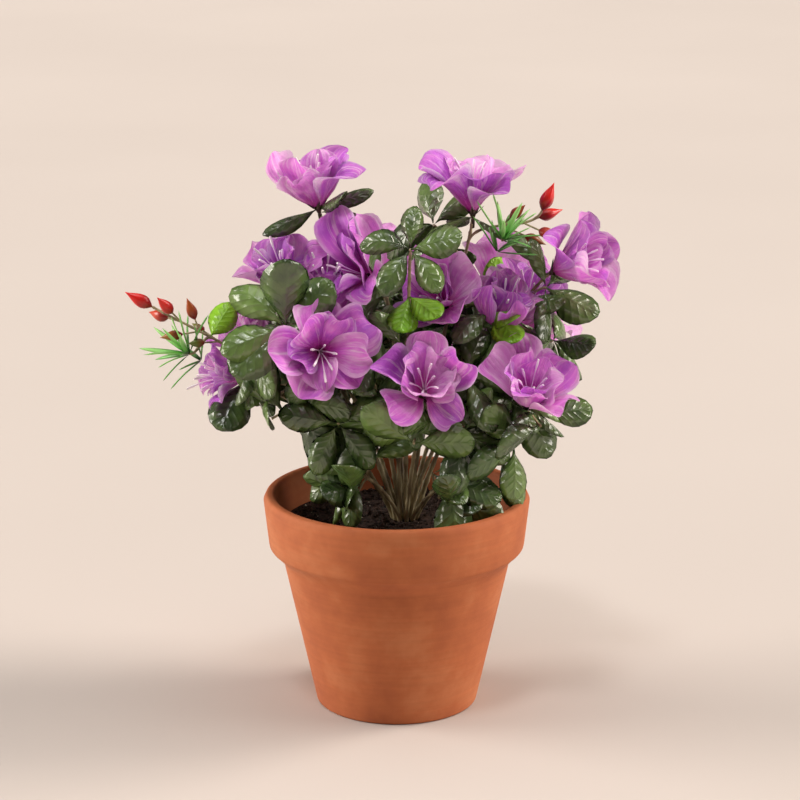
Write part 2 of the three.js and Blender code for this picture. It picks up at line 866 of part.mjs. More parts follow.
for (const spray of sprays)
  for (const shoot of spray.shoots) if (!shoot.ruled) placeTwig(spray, shoot);
for (const chosen of passes) {
  for (const spray of sprays) {
    for (const shoot of spray.shoots.filter(chosen)) {
      if (shoot.ruled) placeTwig(spray, shoot);
      if (shoot.kept) placeBlades(shoot);
    }
  }
}
for (const spray of sprays) {
  const kept = spray.shoots.filter((shoot) => shoot.kept);
  spray.pieces = kept.flatMap(({ rings, tiers, buds }) => [shootSolid(rings, tiers), ...buds]);
}

for (const { name, bough, pieces } of sprays) {
  addNode(`stem_${name}`, bough, finishes.stem);
  addNode(`spray_${name}`, fused(pieces), finishes.leafy);
}

export default plant;
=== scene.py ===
"""Looks of an artificial azalea in a clay pot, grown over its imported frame.

The bush follows the seeded rule of the solids. Stems rise from one clump, twigs leave them, and
whorls of leaves and petals sit at their tips. Here every blade is a curved sheet cut to its own
outline, and twigs, leaves and blooms go on within the same reach. The rule works in millimetres,
the meshes in metres.
"""

import logging
import math
from dataclasses import dataclass, field, replace
from enum import Enum
from typing import Any, Callable, Iterable, Sequence

import bmesh
import bpy
import numpy as np
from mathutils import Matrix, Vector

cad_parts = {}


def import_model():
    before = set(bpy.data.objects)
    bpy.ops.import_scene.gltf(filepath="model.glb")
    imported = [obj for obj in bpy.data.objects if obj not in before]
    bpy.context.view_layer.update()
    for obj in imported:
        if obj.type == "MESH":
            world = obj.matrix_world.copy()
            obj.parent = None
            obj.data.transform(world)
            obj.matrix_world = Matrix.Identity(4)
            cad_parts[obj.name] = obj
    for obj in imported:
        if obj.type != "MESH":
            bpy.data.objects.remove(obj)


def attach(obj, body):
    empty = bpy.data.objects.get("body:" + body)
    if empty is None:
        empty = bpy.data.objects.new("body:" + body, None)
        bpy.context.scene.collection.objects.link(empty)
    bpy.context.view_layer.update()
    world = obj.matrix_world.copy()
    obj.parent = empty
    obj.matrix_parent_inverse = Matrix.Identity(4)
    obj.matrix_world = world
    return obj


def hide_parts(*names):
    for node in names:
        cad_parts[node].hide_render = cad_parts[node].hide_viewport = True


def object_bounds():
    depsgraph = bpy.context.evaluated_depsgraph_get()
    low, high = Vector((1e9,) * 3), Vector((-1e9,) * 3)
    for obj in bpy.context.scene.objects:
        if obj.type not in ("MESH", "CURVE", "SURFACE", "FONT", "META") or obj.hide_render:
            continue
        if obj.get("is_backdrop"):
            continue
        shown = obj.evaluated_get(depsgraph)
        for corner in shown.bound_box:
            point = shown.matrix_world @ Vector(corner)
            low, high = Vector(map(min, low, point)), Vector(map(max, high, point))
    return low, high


Point = np.ndarray
Spot = tuple[float, float, float]
Range = tuple[float, float]

MM = 0.001
SEED = 20261
SIDES = 5  # blades in a whorl
FORK = 0.45  # the share of a stem's line that is bare bough
NECK = 22.0  # the longest stretch over which a limb turns towards its tip
TWIG_BACK = 0.16  # how far behind the nearest place a twig leaves a stem
FORK_GAP, LAST_FORK, FORK_STEPS = 0.03, 0.97, 25  # where on a stem its twigs may leave
GOLDEN = 137.5
RIB_STEPS = 12
RIB_MARKERS = [4, 6, 8, 10, 12]  # the steps of a rib that are tested for room
EDGE_MARKERS = (6, 9)
CLUMP = np.array([5.0, 0.0, 0.0])
SOIL_CROWN = 114.0
POT_FLOOR, POT_INNER_FOOT = 9.0, 43.0
NEAR_AXIS = 0.001  # where a section that is spun starts and ends
CEILING = 246.0  # no rosette of the rule stands higher
BUD_LENGTH = 15.0
PHASE = 6.3  # about a full turn, so that a wave may start anywhere

log = logging.getLogger("azalea")


# ---------------------------------------------------------------- small helpers


def unit(v: Point) -> Point:
    """Returns a vector's direction."""
    return v / np.linalg.norm(v)


def lerp(a: Any, b: Any, t: float) -> Any:
    """Returns the value at a share of the way from a to b."""
    return a + (b - a) * t


def facing(bearing: float, lift: float) -> Point:
    """Returns the direction with a bearing from +X and a lift over the level, in degrees."""
    b, e = math.radians(bearing), math.radians(lift)
    return np.array([math.cos(b) * math.cos(e), math.sin(b) * math.cos(e), math.sin(e)])


def across(axis: Point) -> tuple[Point, Point]:
    """Finds the directions square to an axis.

    Args:
        axis: a unit direction.

    Returns:
        Two unit directions, the first of them level.
    """
    level = np.array([-axis[1], axis[0], 0.0])
    if np.linalg.norm(level) < 1e-3:
        level = np.array([1.0, 0.0, 0.0])
    level = unit(level)
    return level, np.cross(axis, level)


def outward(axis: Point, turn: float) -> Point:
    """Finds the way out from an axis.

    Args:
        axis: a unit direction.
        turn: the turn round it, in degrees.

    Returns:
        A unit direction square to the axis.
    """
    level, rise = across(axis)
    a = math.radians(turn)
    return level * math.cos(a) + rise * math.sin(a)


class Draw:
    """A seeded sequence of draws in [0, 1)."""

    STRIDE, FACTOR, STEP, SPAN = 40503, 1664525, 1013904223, 2**32

    def __init__(self, seed: int) -> None:
        """Starts the sequence of one seed."""
        self.state = (SEED + self.STRIDE * seed) % self.SPAN

    def __call__(self) -> float:
        """Returns the next draw."""
        self.state = (self.state * self.FACTOR + self.STEP) % self.SPAN
        return self.state / self.SPAN

    def spread(self, low: float, high: float) -> float:
        """Returns a draw between two values."""
        return lerp(low, high, self())


# ---------------------------------------------------------------- the rule of growth


class Kind(Enum):
    """What a marker or a shoot stands for."""

    BLOOM = "bloom"
    LEAF = "leaf"
    BUDS = "buds"
    TUFT = "tuft"
    PETAL = "petal"
    LIMB = "limb"


@dataclass(frozen=True)
class Form:
    """The build of one kind of blade and of its hub, in millimetres and degrees."""

    kind: Kind
    width: float  # against its length
    polar: float  # from the axis of its whorl
    bend: float
    length: float = 0.0
    sag: float = 0.0
    roll: float = 0.0
    ease: float = 1.0
    seat: float = 0.0
    hub_radius: float = 1.2
    bare: tuple[int, ...] = ()  # the blades that are left out
    turn: float = 0.0
    spread: float = 1.0
    size: float = 1.0


LEAF = Form(Kind.LEAF, width=0.6, polar=70, bend=38, length=29, sag=0.35)
BRACT = Form(
    Kind.LEAF, width=0.3, polar=98, bend=30, length=24, sag=0.2, seat=-3, hub_radius=1.3,
    bare=(1, 4), turn=25,
)
OUTER_PETAL = Form(
    Kind.PETAL, width=0.68, polar=22, bend=0, roll=20, ease=0.8, seat=1.5, hub_radius=1.9
)
INNER_PETAL = Form(
    Kind.PETAL, width=0.68, polar=22, bend=0, roll=20, ease=0.8, seat=6, hub_radius=1.6, turn=36,
    spread=0.7, size=0.84,
)
GRASS_LOW = Form(Kind.LEAF, width=0.09, polar=66, bend=16, length=26, hub_radius=1.0)
GRASS_HIGH = replace(GRASS_LOW, polar=26, seat=1.5, hub_radius=0.9)
SEPAL = Form(Kind.LEAF, width=0.36, polar=38, bend=25, length=9, seat=-0.5, hub_radius=1.6)


@dataclass(frozen=True)
class Line:
    """A cubic curve with four control points."""

    root: Point
    low: Point
    high: Point
    tip: Point

    def at(self, t: float) -> Point:
        """Returns the place at a share of the curve."""
        s = 1 - t
        ends = s**3 * self.root + t**3 * self.tip
        return ends + 3 * s * s * t * self.low + 3 * s * t * t * self.high

    def way(self, t: float) -> Point:
        """Returns the direction of growth at a share of the curve."""
        return unit(self.at(min(t + 0.001, 1)) - self.at(max(t - 0.001, 0)))

    def points(self, start: float, end: float, count: int) -> Point:
        """Returns evenly shared places between two shares of the curve."""
        return np.array([self.at(lerp(start, end, i / (count - 1))) for i in range(count)])


def stem_line(foot: Point, tip: Point, face: Point) -> Line:
    """Draws a stem, which rises steeply and leans out towards its end.

    Args:
        foot: where it leaves the soil.
        tip: where it ends.
        face: the way that it points there.

    Returns:
        Its curve.
    """
    out, up, neck = 0.2, 0.45, 0.28
    low = np.append(lerp(foot[:2], tip[:2], out), lerp(foot[2], tip[2], up))
    neck = min(NECK, neck * float(np.linalg.norm(tip - foot)))
    return Line(foot, low, tip - face * neck, tip)


def twig_line(parent: Line, t: float, tip: Point, face: Point) -> Line:
    """Draws a twig, which leaves a limb along the limb's own growth.

    Args:
        parent: the limb.
        t: the share of the limb where it leaves.
        tip: where it ends.
        face: the way that it points there.

    Returns:
        Its curve.
    """
    leave, neck = 0.35, 0.3
    root = parent.at(t)
    reach = float(np.linalg.norm(tip - root))
    low = root + parent.way(t) * leave * reach
    return Line(root, low, tip - face * min(NECK, neck * reach), tip)


def twig_share(line: Line, tip: Point) -> float:
    """Finds where a twig leaves a stem.

    Args:
        line: the stem's curve.
        tip: where the twig ends.

    Returns:
        The share of the stem's curve.
    """
    later = [lerp(FORK, LAST_FORK, i / FORK_STEPS) for i in range(1, FORK_STEPS + 1)]
    best = min([FORK] + later, key=lambda t: float(np.linalg.norm(line.at(t) - tip)))
    return max(FORK + FORK_GAP, best - TWIG_BACK)


@dataclass
class Blade:
    """A leaf or petal: its root, its first direction, the way its top faces, and its curl."""

    root: Point
    out: Point
    top: Point
    length: float
    half_width: float
    bend: float
    roll: float = 0.0
    sag: float = 0.0
    ease: float = 1.0
    bare: bool = False
    kept: bool = False

    def rib(self) -> tuple[Point, Point, Point]:
        """Traces the rib.

        Returns:
            The places along it, the way to its side and the way its top faces, each as rows.
        """
        level = unit(np.cross(self.top, self.out))
        r = math.radians(self.roll)
        at = self.root.copy()
        rows: list[tuple[Point, Point, Point]] = []
        for i in range(RIB_STEPS + 1):
            share = i / RIB_STEPS
            turn = math.radians(self.bend) * share**self.ease
            run = self.out * math.cos(turn) - self.top * math.sin(turn)
            run[2] -= self.sag * share
            run = unit(run)
            rise = unit(np.cross(run, level))
            side = level * math.cos(r) + rise * math.sin(r)
            rows.append((at.copy(), side, np.cross(run, side)))
            at += run * self.length / RIB_STEPS
        return tuple(np.array(column) for column in zip(*rows))

    def opened(self, by: float) -> tuple[Point, Point]:
        """Returns the blade's first direction and its top once it leans out by some degrees."""
        c, s = math.cos(math.radians(by)), math.sin(math.radians(by))
        return self.out * c - self.top * s, self.top * c + self.out * s

    def markers(self) -> Point:
        """Picks the points that stand for the blade in the tests that keep blades apart.

        Returns:
            Points on its rib and on both its edges, as rows.
        """
        at, side, _ = self.rib()
        edges = [at[i] + side[i] * s * self.half_width for i in EDGE_MARKERS for s in (-1, 1)]
        return np.vstack([at[RIB_MARKERS], edges])


@dataclass
class Whorl:
    """A ring of blades round an axis."""

    hub: Point
    axis: Point
    form: Form
    start: float
    blades: list[Blade]


def blade_at(hub: Point, axis: Point, turn: float, form: Form, shape: dict[str, float]) -> Blade:
    """Makes a blade that leaves a hub at a turn round its axis.

    Args:
        hub: the place that the whorl is measured from.
        axis: the way that the whorl faces.
        turn: the turn round the axis, in degrees.
        form: the build of the blade.
        shape: its length and polar angle, and what else departs from its form.

    Returns:
        The blade.
    """
    away = outward(axis, turn)
    p = math.radians(shape["polar"])
    width = shape.get("width", form.width)
    rest = {key: shape[key] for key in ("bend", "roll", "sag", "ease") if key in shape}
    return Blade(
        hub + axis * form.seat + away * form.hub_radius,
        away * math.sin(p) + axis * math.cos(p),
        axis * math.sin(p) - away * math.cos(p),
        shape["length"],
        width * shape["length"] / 2,
        **rest,
    )


def whorl(
    hub: Point, axis: Point, form: Form, start: float, draw: Draw, shape_of: Callable[[], dict]
) -> Whorl:
    """Makes a whorl whose blades each depart a little from the even one.

    Args:
        hub: the place that the whorl is measured from.
        axis: the way that it faces.
        form: the build of its blades.
        start: the turn of its first blade, in degrees.
        draw: gives the draws.
        shape_of: gives the shape of the next blade.

    Returns:
        The whorl.
    """
    wander = 8  # degrees
    blades = []
    for i in range(SIDES):
        turn = start + 360 * i / SIDES + wander * (draw() - 0.5)
        blades.append(blade_at(hub, axis, turn, form, shape_of()))
    for i in form.bare:
        blades[i].bare = True
    return Whorl(hub, axis, form, start, blades)


def bloom_tiers(hub: Point, axis: Point, length: float, spread: float, draw: Draw) -> list[Whorl]:
    """Makes the bracts and the two whorls of petals of a bloom.

    Args:
        hub: the place of its calyx.
        axis: the way that it faces.
        length: its petals' length.
        spread: how far its petals open, in degrees from the axis.
        draw: gives the draws.

    Returns:
        The whorl of bracts, then the outer and the inner petals.
    """
    start = 360 * draw()

    def bract_shape() -> dict[str, float]:
        """Returns the next bract's shape."""
        size = BRACT.length * (0.85 + 0.3 * draw())
        return {"polar": BRACT.polar, "length": size, "bend": BRACT.bend, "sag": BRACT.sag}

    def petal_shape(form: Form) -> dict[str, float]:
        """Returns the next petal's shape."""
        size = length * form.size * (0.94 + 0.12 * draw())
        return {
            "polar": form.polar * form.spread,
            "length": size,
            "width": form.width * min(1, 0.35 + spread / 100),
            "bend": (spread - form.polar) * form.spread + 10 * (draw() - 0.5),
            "roll": form.roll,
            "ease": form.ease,
        }

    tiers = [whorl(hub, axis, BRACT, start + BRACT.turn, draw, bract_shape)]
    for form in (OUTER_PETAL, INNER_PETAL):
        shape_of = lambda form=form: petal_shape(form)
        tiers.append(whorl(hub, axis, form, start + form.turn, draw, shape_of))
    return tiers


def rosette_tier(hub: Point, axis: Point, length: float, draw: Draw) -> Whorl:
    """Makes a rosette's whorl of leaves.

    Args:
        hub: the place that it is measured from.
        axis: the way that it faces.
        length: its leaves' length.
        draw: gives the draws.

    Returns:
        The whorl.
    """

    def leaf_shape() -> dict[str, float]:
        """Returns the next leaf's shape."""
        return {
            "length": length * (0.88 + 0.24 * draw()),
            "polar": LEAF.polar + 16 * (draw() - 0.5),
            "bend": LEAF.bend * (0.6 + 0.8 * draw()),
            "sag": 2 * LEAF.sag * draw(),
        }

    return whorl(hub, axis, LEAF, 360 * draw(), draw, leaf_shape)


def grass_tiers(hub: Point, axis: Point, draw: Draw) -> list[Whorl]:
    """Makes the two whorls of a tuft of narrow blades.

    Args:
        hub: the place that it is measured from.
        axis: the way that it faces.
        draw: gives the draws.

    Returns:
        The lower and the upper whorl.
    """

    def grass_shape(form: Form) -> dict[str, float]:
        """Returns the next narrow blade's shape."""
        size = form.length * (0.75 + 0.4 * draw())
        return {"length": size, "polar": form.polar * (0.8 + 0.4 * draw()), "bend": form.bend}

    return [
        whorl(hub, axis, form, 36.0 * i, draw, lambda form=form: grass_shape(form))
        for i, form in enumerate((GRASS_LOW, GRASS_HIGH))
    ]


@dataclass
class Bud:
    """A bud on its stalk: where it leaves its twig, the way it points, and how ripe it is."""

    root: Point
    run: Point
    length: float
    stalk: float
    ripe: float


@dataclass
class Shoot:
    """A limb with what grows at its end."""

    kind: Kind
    line: Line
    tiers: list[Whorl]
    ruled: bool = False
    kept: bool = False
    buds: list[Bud] = field(default_factory=list)


@dataclass(frozen=True)
class Sprig:
    """A line of buds with a tuft: where both end, how steeply the line ends, and its bud pairs."""

    buds: Spot
    rise: float
    pairs: int
    tuft: Spot


@dataclass
class Spray:
    """A stem and all that it carries.

    A bloom is its calyx's place, its bearing and lift, its petal length and its spread. A rosette
    is its hub's place, its bearing and lift, and its leaf length. `leafy` counts the rosettes set
    by the rule.
    """

    name: str
    blooms: list[tuple[float, ...]]
    rosettes: list[tuple[float, ...]]
    leafy: int
    sprig: Sprig | None = None
    line: Line | None = None
    shoots: list[Shoot] = field(default_factory=list)

    REACH = 17.0  # from the stem to a rosette of the rule
    STRETCH = (FORK + 0.02, 0.92)  # the shares of the stem between which these leave it
    LEAN = (0.8, 0.25, 0.6)  # how much they face out from it, along it and out of the clump

    def lead(self) -> tuple[float, ...]:
        """Returns the bloom or rosette at the end of the stem."""
        return (self.blooms or self.rosettes)[0]

    def grow(self, foot: Point, seed: int) -> None:
        """Lays out the stem's shoots.

        Args:
            foot: where the stem leaves the soil.
            seed: the seed of its draws.
        """
        draw = Draw(seed)
        x, y, z, bearing, lift = self.lead()[:5]
        self.line = stem_line(foot, np.array([x, y, z], float), facing(bearing, lift))
        for bx, by, bz, turn, rise, length, spread in self.blooms:
            hub, axis = np.array([bx, by, bz], float), facing(turn, rise)
            self._add(Kind.BLOOM, hub, axis, bloom_tiers(hub, axis, length, spread, draw))
        for hx, hy, hz, turn, rise, length in self.rosettes:
            hub, axis = np.array([hx, hy, hz], float), facing(turn, rise)
            self._add(Kind.LEAF, hub, axis, [rosette_tier(hub, axis, length, draw)])
        if self.sprig:
            self._add_sprig(self.sprig, draw)
        ruled = self.ruled(self.leafy, draw)
        self.shoots += [shoot for shoot in ruled if shoot.line.tip[2] <= CEILING]

    def _add(self, kind: Kind, hub: Point, axis: Point, tiers: list[Whorl]) -> Shoot:
        """Adds a shoot, the first along the stem itself and the others on twigs.

        Args:
            kind: what it stands for.
            hub: where it ends.
            axis: the way that it faces there.
            tiers: its whorls.

        Returns:
            The shoot.
        """
        line = self.line
        if self.shoots:
            line = twig_line(self.line, twig_share(self.line, hub), hub, axis)
        self.shoots.append(Shoot(kind, line, tiers))
        return self.shoots[-1]

    def _add_sprig(self, sprig: Sprig, draw: Draw) -> None:
        """Adds the line of buds and the tuft that grows from its middle.

        Args:
            sprig: the sprig.
            draw: gives the draws.
        """
        end = np.array(sprig.buds, float)
        tip = unit(np.array([end[0] - CLUMP[0], end[1] - CLUMP[1], 0.0]))
        tip = unit(np.array([tip[0], tip[1], sprig.rise]))
        shoot = self._add(Kind.BUDS, end, tip, [])
        shoot.buds = self._buds_along(shoot.line, sprig.pairs, draw)
        heart = np.array(sprig.tuft, float)
        side = twig_line(shoot.line, 0.5, heart, tip)
        self.shoots.append(Shoot(Kind.TUFT, side, grass_tiers(heart, tip, draw)))

    @staticmethod
    def _buds_along(line: Line, pairs: int, draw: Draw) -> list[Bud]:
        """Sets the bud at the end of a line and the pairs below it, riper towards the end.

        Args:
            line: the curve that they stand on.
            pairs: how many pairs.
            draw: gives the draws.

        Returns:
            The buds.
        """
        stalk, splay = 8.5, 42.0
        last, stretch = 0.82, 0.45  # the share where the pairs start, and over which they stand
        found = [Bud(line.at(1), line.way(1), BUD_LENGTH, 0.0, 1.0)]
        for i in range(pairs):
            t = last - stretch * (i + 0.5) / pairs
            for turn in (0, 180):
                along = line.way(t)
                away = outward(along, turn + 70 * i + 50 * draw())
                s = math.radians(splay * (0.8 + 0.4 * draw()))
                run = unit(along * math.cos(s) + away * math.sin(s))
                size = BUD_LENGTH * (0.9 - 0.12 * i)
                ripe = max(0.0, 0.95 - 0.45 * i - turn / 900)
                found.append(Bud(line.at(t), run, size, stalk * (0.8 + 0.9 * draw()), ripe))
        return found

    def ruled(self, count: int, draw: Draw, first: float = 0.4) -> list[Shoot]:
        """Lays out rosettes that turn by the golden angle up the leafy part of the stem.

        Args:
            count: how many.
            draw: gives the draws.
            first: where in its stretch each of them leaves the stem.

        Returns:
            Their shoots.
        """
        start = 360 * draw()
        from_stem, along_it, from_clump = self.LEAN
        found = []
        for i in range(count):
            t = lerp(*self.STRETCH, (i + first) / count)
            at, along = self.line.at(t), self.line.way(t)
            opened = unit(np.array([at[0] - CLUMP[0], at[1] - CLUMP[1], 0.0]))
            away = outward(along, start + GOLDEN * i) * from_stem
            face = unit(away + along * along_it + opened * from_clump)
            hub = at + face * self.REACH * (0.8 + 0.5 * draw())
            found.append((t, hub, face, LEAF.length * (0.85 + 0.25 * draw())))
        return [
            Shoot(
                Kind.LEAF, twig_line(self.line, t, hub, face),
                [rosette_tier(hub, face, length, draw)], ruled=True,
            )
            for t, hub, face, length in found
        ]


@dataclass(frozen=True)
class Opening:
    """A place where no leaf hangs."""

    left: float
    right: float
    top: float
    back: float = 200.0

    def holds(self, point: Point) -> bool:
        """Tells whether a point lies in it."""
        return self.left < point[0] < self.right and point[1] < self.back and point[2] < self.top


OPENINGS = (
    Opening(-11, 21, 164, back=-6),  # in front of the clump, so that the bare stems show
    Opening(80, 200, 172),  # under the skirt of the crown on both sides
    Opening(-200, -66, 176),
)
FURTHER_AT_BACK, FURTHER_IN_FRONT = 6, 2  # rosettes to a stem
BACK_FROM = 20.0
FURTHER_START = 0.9
FURTHER_ROOM = 0.8  # the share of the usual room that is enough for them
BRACT_ROOM = 0.5

OUTER_SPRAYS = (
    Spray("right", [(92, 0, 266, -36, 30, 38, 66), (74, 24, 232, -50, 60, 34, 48)],
          [(88, -2, 257, -50, 10, 26), (93, 6, 223, -20, 25, 30)], 4),
    Spray("right_back", [(72, 58, 212, 40, 30, 37, 70)], [(72, 44, 180, 25, 0, 31)], 6),
    Spray("back_right", [(60, 74, 234, 52, 45, 38, 64), (40, 98, 196, 75, 12, 35, 74)],
          [(50, 70, 172, 60, -5, 31)], 6),
    Spray("back", [(-12, 94, 222, 98, 28, 39, 72)], [(-2, 84, 186, 90, 0, 31)], 7),
    Spray("back_left", [(-56, 60, 222, 138, 35, 38, 64)], [(-48, 62, 184, 130, 0, 31)], 6),
    Spray("left", [(-90, 4, 200, -165, 12, 33, 52), (-84, 16, 216, -140, 52, 29, 42)],
          [(-66, -26, 187, -95, 15, 34)], 4),
    Spray("bud_left", [], [(-84, -20, 216, -150, 25, 25)], 3,
          Sprig((-142, -22, 250), 0.6, 3, (-121, -26, 223))),
    Spray("front_left", [(-45, -32, 226, -82, 12, 42, 80)],
          [(-64, -44, 243, -98, 24, 36), (-57, -28, 192, -112, 0, 31),
           (-34, -38, 184, -100, 10, 29)], 3),
    Spray("low_left", [], [(-25, -38, 154, -122, 14, 30), (-10, -38, 178, -95, 0, 29)], 3),
    Spray("front", [(16, -40, 202, -90, 38, 37, 62)],
          [(10, -52, 176, -92, 5, 29), (40, -34, 212, -70, 30, 28)], 4),
    Spray("low_right", [], [(31, -42, 150, -80, 22, 30), (38, -40, 180, -75, 15, 30)], 3),
    Spray("front_right", [(76, -34, 194, -80, 52, 38, 60)],
          [(61, -27, 161, -62, 8, 31), (86, -26, 186, -40, -5, 32)], 4),
)
INNER_SPRAYS = (
    Spray("centre_right", [(60, -10, 234, -67, 66, 34, 34)], [(58, -24, 208, -70, 30, 29)], 5),
    Spray("upper_right", [(45, 15, 298, -90, 84, 39, 76), (29, 2, 244, -112, 37, 37, 66)],
          [(22, 30, 288, -130, 30, 32)], 4, Sprig((85, 2, 302), 2.4, 2, (62, -6, 287))),
    Spray("upper_back", [(-8, 60, 246, 90, 48, 38, 66)], [(18, 58, 262, 80, 35, 29)], 6),
    Spray("upper_left", [(-46, 10, 302, -150, 76, 34, 60), (-63, 4, 254, -132, 58, 34, 54)],
          [], 5),
    Spray("heart", [(-14, -2, 263, -138, 16, 42, 84), (-42, -6, 247, -82, 70, 27, 30)],
          [(-14, -24, 226, -90, 30, 28)], 5),
    Spray("upper_front", [], [(8, -40, 288, -88, 30, 28)], 5),
)


class Room:
    """The markers of what is in place, and the test that a new blade keeps clear of them."""

    OTHERS, OWN, PETALS, LIMBS = 2.6, 2.2, 2.2, 1.8

    def __init__(self) -> None:
        """Starts with nothing in place."""
        self.points: list[Point] = []
        self.owners: list[np.ndarray] = []
        self.kinds: list[np.ndarray] = []

    def take(self, owner: int, kind: Kind, points: Point) -> None:
        """Puts the markers of a piece in place.

        Args:
            owner: the spray that they belong to.
            kind: what they stand for.
            points: their places.
        """
        self.points.append(points)
        self.owners.append(np.full(len(points), owner))
        self.kinds.append(np.array([kind.value] * len(points)))

    def is_clear(self, owner: int, kind: Kind, points: Point, ease: float = 1.0) -> bool:
        """Tests new markers against what is in place.

        Args:
            owner: the spray that they belong to.
            kind: what they stand for.
            points: their places.
            ease: the share of the usual room that is enough.

        Returns:
            Whether they keep their distance.
        """
        spots, owners, kinds = map(np.concatenate, (self.points, self.owners, self.kinds))
        mine = owners == owner
        if kind is Kind.PETAL:
            away = np.where((kinds == Kind.PETAL.value) & ~mine, self.PETALS, 0.0)
        else:
            away = np.where(mine, self.OWN, self.OTHERS)
            away = np.where(kinds == Kind.LIMB.value, np.where(mine, 0.0, self.LIMBS), away)
        gaps = np.linalg.norm(points[:, None, :] - spots[None, :, :], axis=2)
        return bool(np.all((away == 0) | (gaps >= away * ease)))


@dataclass(frozen=True)
class Cup:
    """The hollow of a bloom, where no leaf grows."""

    hub: Point
    axis: Point
    length: float  # of its petals
    spread: float

    BASE = 3.0  # its height over the hub, and its radius there
    LEAST, OPEN = 30.0, 0.72  # its least slope, and its slope against the petals' spread
    DEPTH, WIDTH = 0.95, 0.6  # against the petals' length

    def holds(self, points: Point) -> bool:
        """Tests whether any of some points lies in it.

        Args:
            points: their places.

        Returns:
            Whether one does.
        """
        off = points - self.hub
        height = off @ self.axis
        radius = np.linalg.norm(off - np.outer(height, self.axis), axis=1)
        wide = self.BASE + height * math.tan(math.radians(max(self.LEAST, self.OPEN * self.spread)))
        deep = (height > self.BASE) & (height < self.DEPTH * self.length)
        return bool(np.any(deep & (radius < np.minimum(wide, self.WIDTH * self.length))))


class Bush:
    """All the sprays, with the blades that keep to their own space."""

    PASSES: tuple[Callable[[Shoot], bool], ...] = (
        lambda shoot: shoot.kind is Kind.BLOOM,
        lambda shoot: shoot.kind in (Kind.BUDS, Kind.TUFT),
        lambda shoot: shoot.kind is Kind.LEAF and not shoot.ruled,
        lambda shoot: shoot.ruled,
    )
    OUTER_RING, INNER_RING = 6.9, 3.1  # the radii on which the stems stand
    LIMB_MARKERS = 25

    def __init__(self) -> None:
        """Grows every spray from its foot."""
        self.room = Room()
        self.sprays = [*OUTER_SPRAYS, *INNER_SPRAYS]
        self.cups = [
            Cup(np.array(bloom[:3], float), facing(bloom[3], bloom[4]), bloom[5], bloom[6])
            for spray in self.sprays for bloom in spray.blooms
        ]
        feet = self._feet(OUTER_SPRAYS, self.OUTER_RING) + self._feet(INNER_SPRAYS, self.INNER_RING)
        for i, (spray, foot) in enumerate(zip(self.sprays, feet)):
            spray.grow(foot, i + 1)
        self._keep_apart()
        self._fill_in()

    @staticmethod
    def _feet(sprays: Sequence[Spray], radius: float) -> list[Point]:
        """Stands a ring of stems evenly round the clump, turned to suit the places they lead to.

        Args:
            sprays: the sprays of the ring.
            radius: its radius.

        Returns:
            The foot of each.
        """
        even = [2 * math.pi * i / len(sprays) for i in range(len(sprays))]
        leads = [spray.lead() for spray in sprays]
        off = [math.atan2(p[1] - CLUMP[1], p[0] - CLUMP[0]) - e for p, e in zip(leads, even)]
        turn = math.atan2(sum(map(math.sin, off)), sum(map(math.cos, off)))
        foot = CLUMP + np.array([0.0, 0.0, SOIL_CROWN + 0.3])
        return [foot + radius * facing(math.degrees(turn + e), 0) for e in even]

    def _keep_apart(self) -> None:
        """Keeps the blades that stay out of the other sprays' space."""
        for owner, spray in enumerate(self.sprays):
            self.room.take(owner, Kind.LIMB, spray.line.points(0, 1, self.LIMB_MARKERS))
        for chosen in self.PASSES:
            for owner, spray in enumerate(self.sprays):
                for shoot in filter(chosen, spray.shoots):
                    self._keep(owner, shoot)

    def _keep(self, owner: int, shoot: Shoot, ease: float = 1.0) -> None:
        """Keeps a shoot's limb and those of its blades that are clear.

        Args:
            owner: the spray that it belongs to.
            shoot: the shoot.
            ease: the share of the usual room that is enough.
        """
        limb = shoot.line.points(0.2, 1, self.LIMB_MARKERS)
        shoot.kept = not shoot.ruled or self.room.is_clear(owner, Kind.LIMB, limb)
        if not shoot.kept:
            return
        self.room.take(owner, Kind.LIMB, limb)
        for tier in shoot.tiers:
            room = BRACT_ROOM * ease if tier.form is BRACT else ease
            for blade in tier.blades:
                self._keep_blade(owner, tier.form.kind, blade, room)

    def _keep_blade(self, owner: int, kind: Kind, blade: Blade, ease: float) -> None:
        """Keeps a blade if it is clear and, where it is a leaf, out of the openings and the cups.

        Args:
            owner: the spray that it belongs to.
            kind: what it is.
            blade: the blade.
            ease: the share of the usual room that is enough.
        """
        points = blade.markers()
        shut = blade.bare or any(opening.holds(point) for opening in OPENINGS for point in points)
        if kind is Kind.LEAF and not shut:
            shut = any(cup.holds(points) for cup in self.cups)
        blade.kept = not shut and self.room.is_clear(owner, kind, points, ease)
        if blade.kept:
            self.room.take(owner, kind, points)

    def _fill_in(self) -> None:
        """Carries the rule on to finer twigs, with rosettes between those of the solids."""
        for owner, spray in enumerate(self.sprays):
            draw = Draw(500 + owner)
            more = FURTHER_AT_BACK if spray.lead()[1] > BACK_FROM else FURTHER_IN_FRONT
            for shoot in spray.ruled(more, draw, FURTHER_START):
                tip = shoot.line.at(1)
                if tip[2] > CEILING or any(opening.holds(tip) for opening in OPENINGS):
                    continue
                spray.shoots.append(shoot)
                self._keep(owner, shoot, FURTHER_ROOM)

    def shoots(self, kind: Kind) -> Iterable[tuple[Spray, Shoot]]:
        """Finds the kept shoots of a kind.

        Args:
            kind: the kind.

        Returns:
            Each with its spray, one after another.
        """
        for spray in self.sprays:
            for shoot in spray.shoots:
                if shoot.kept and shoot.kind is kind:
                    yield spray, shoot


# ---------------------------------------------------------------- meshes


def deselect() -> None:
    """Leaves nothing selected."""
    bpy.ops.object.select_all(action="DESELECT")


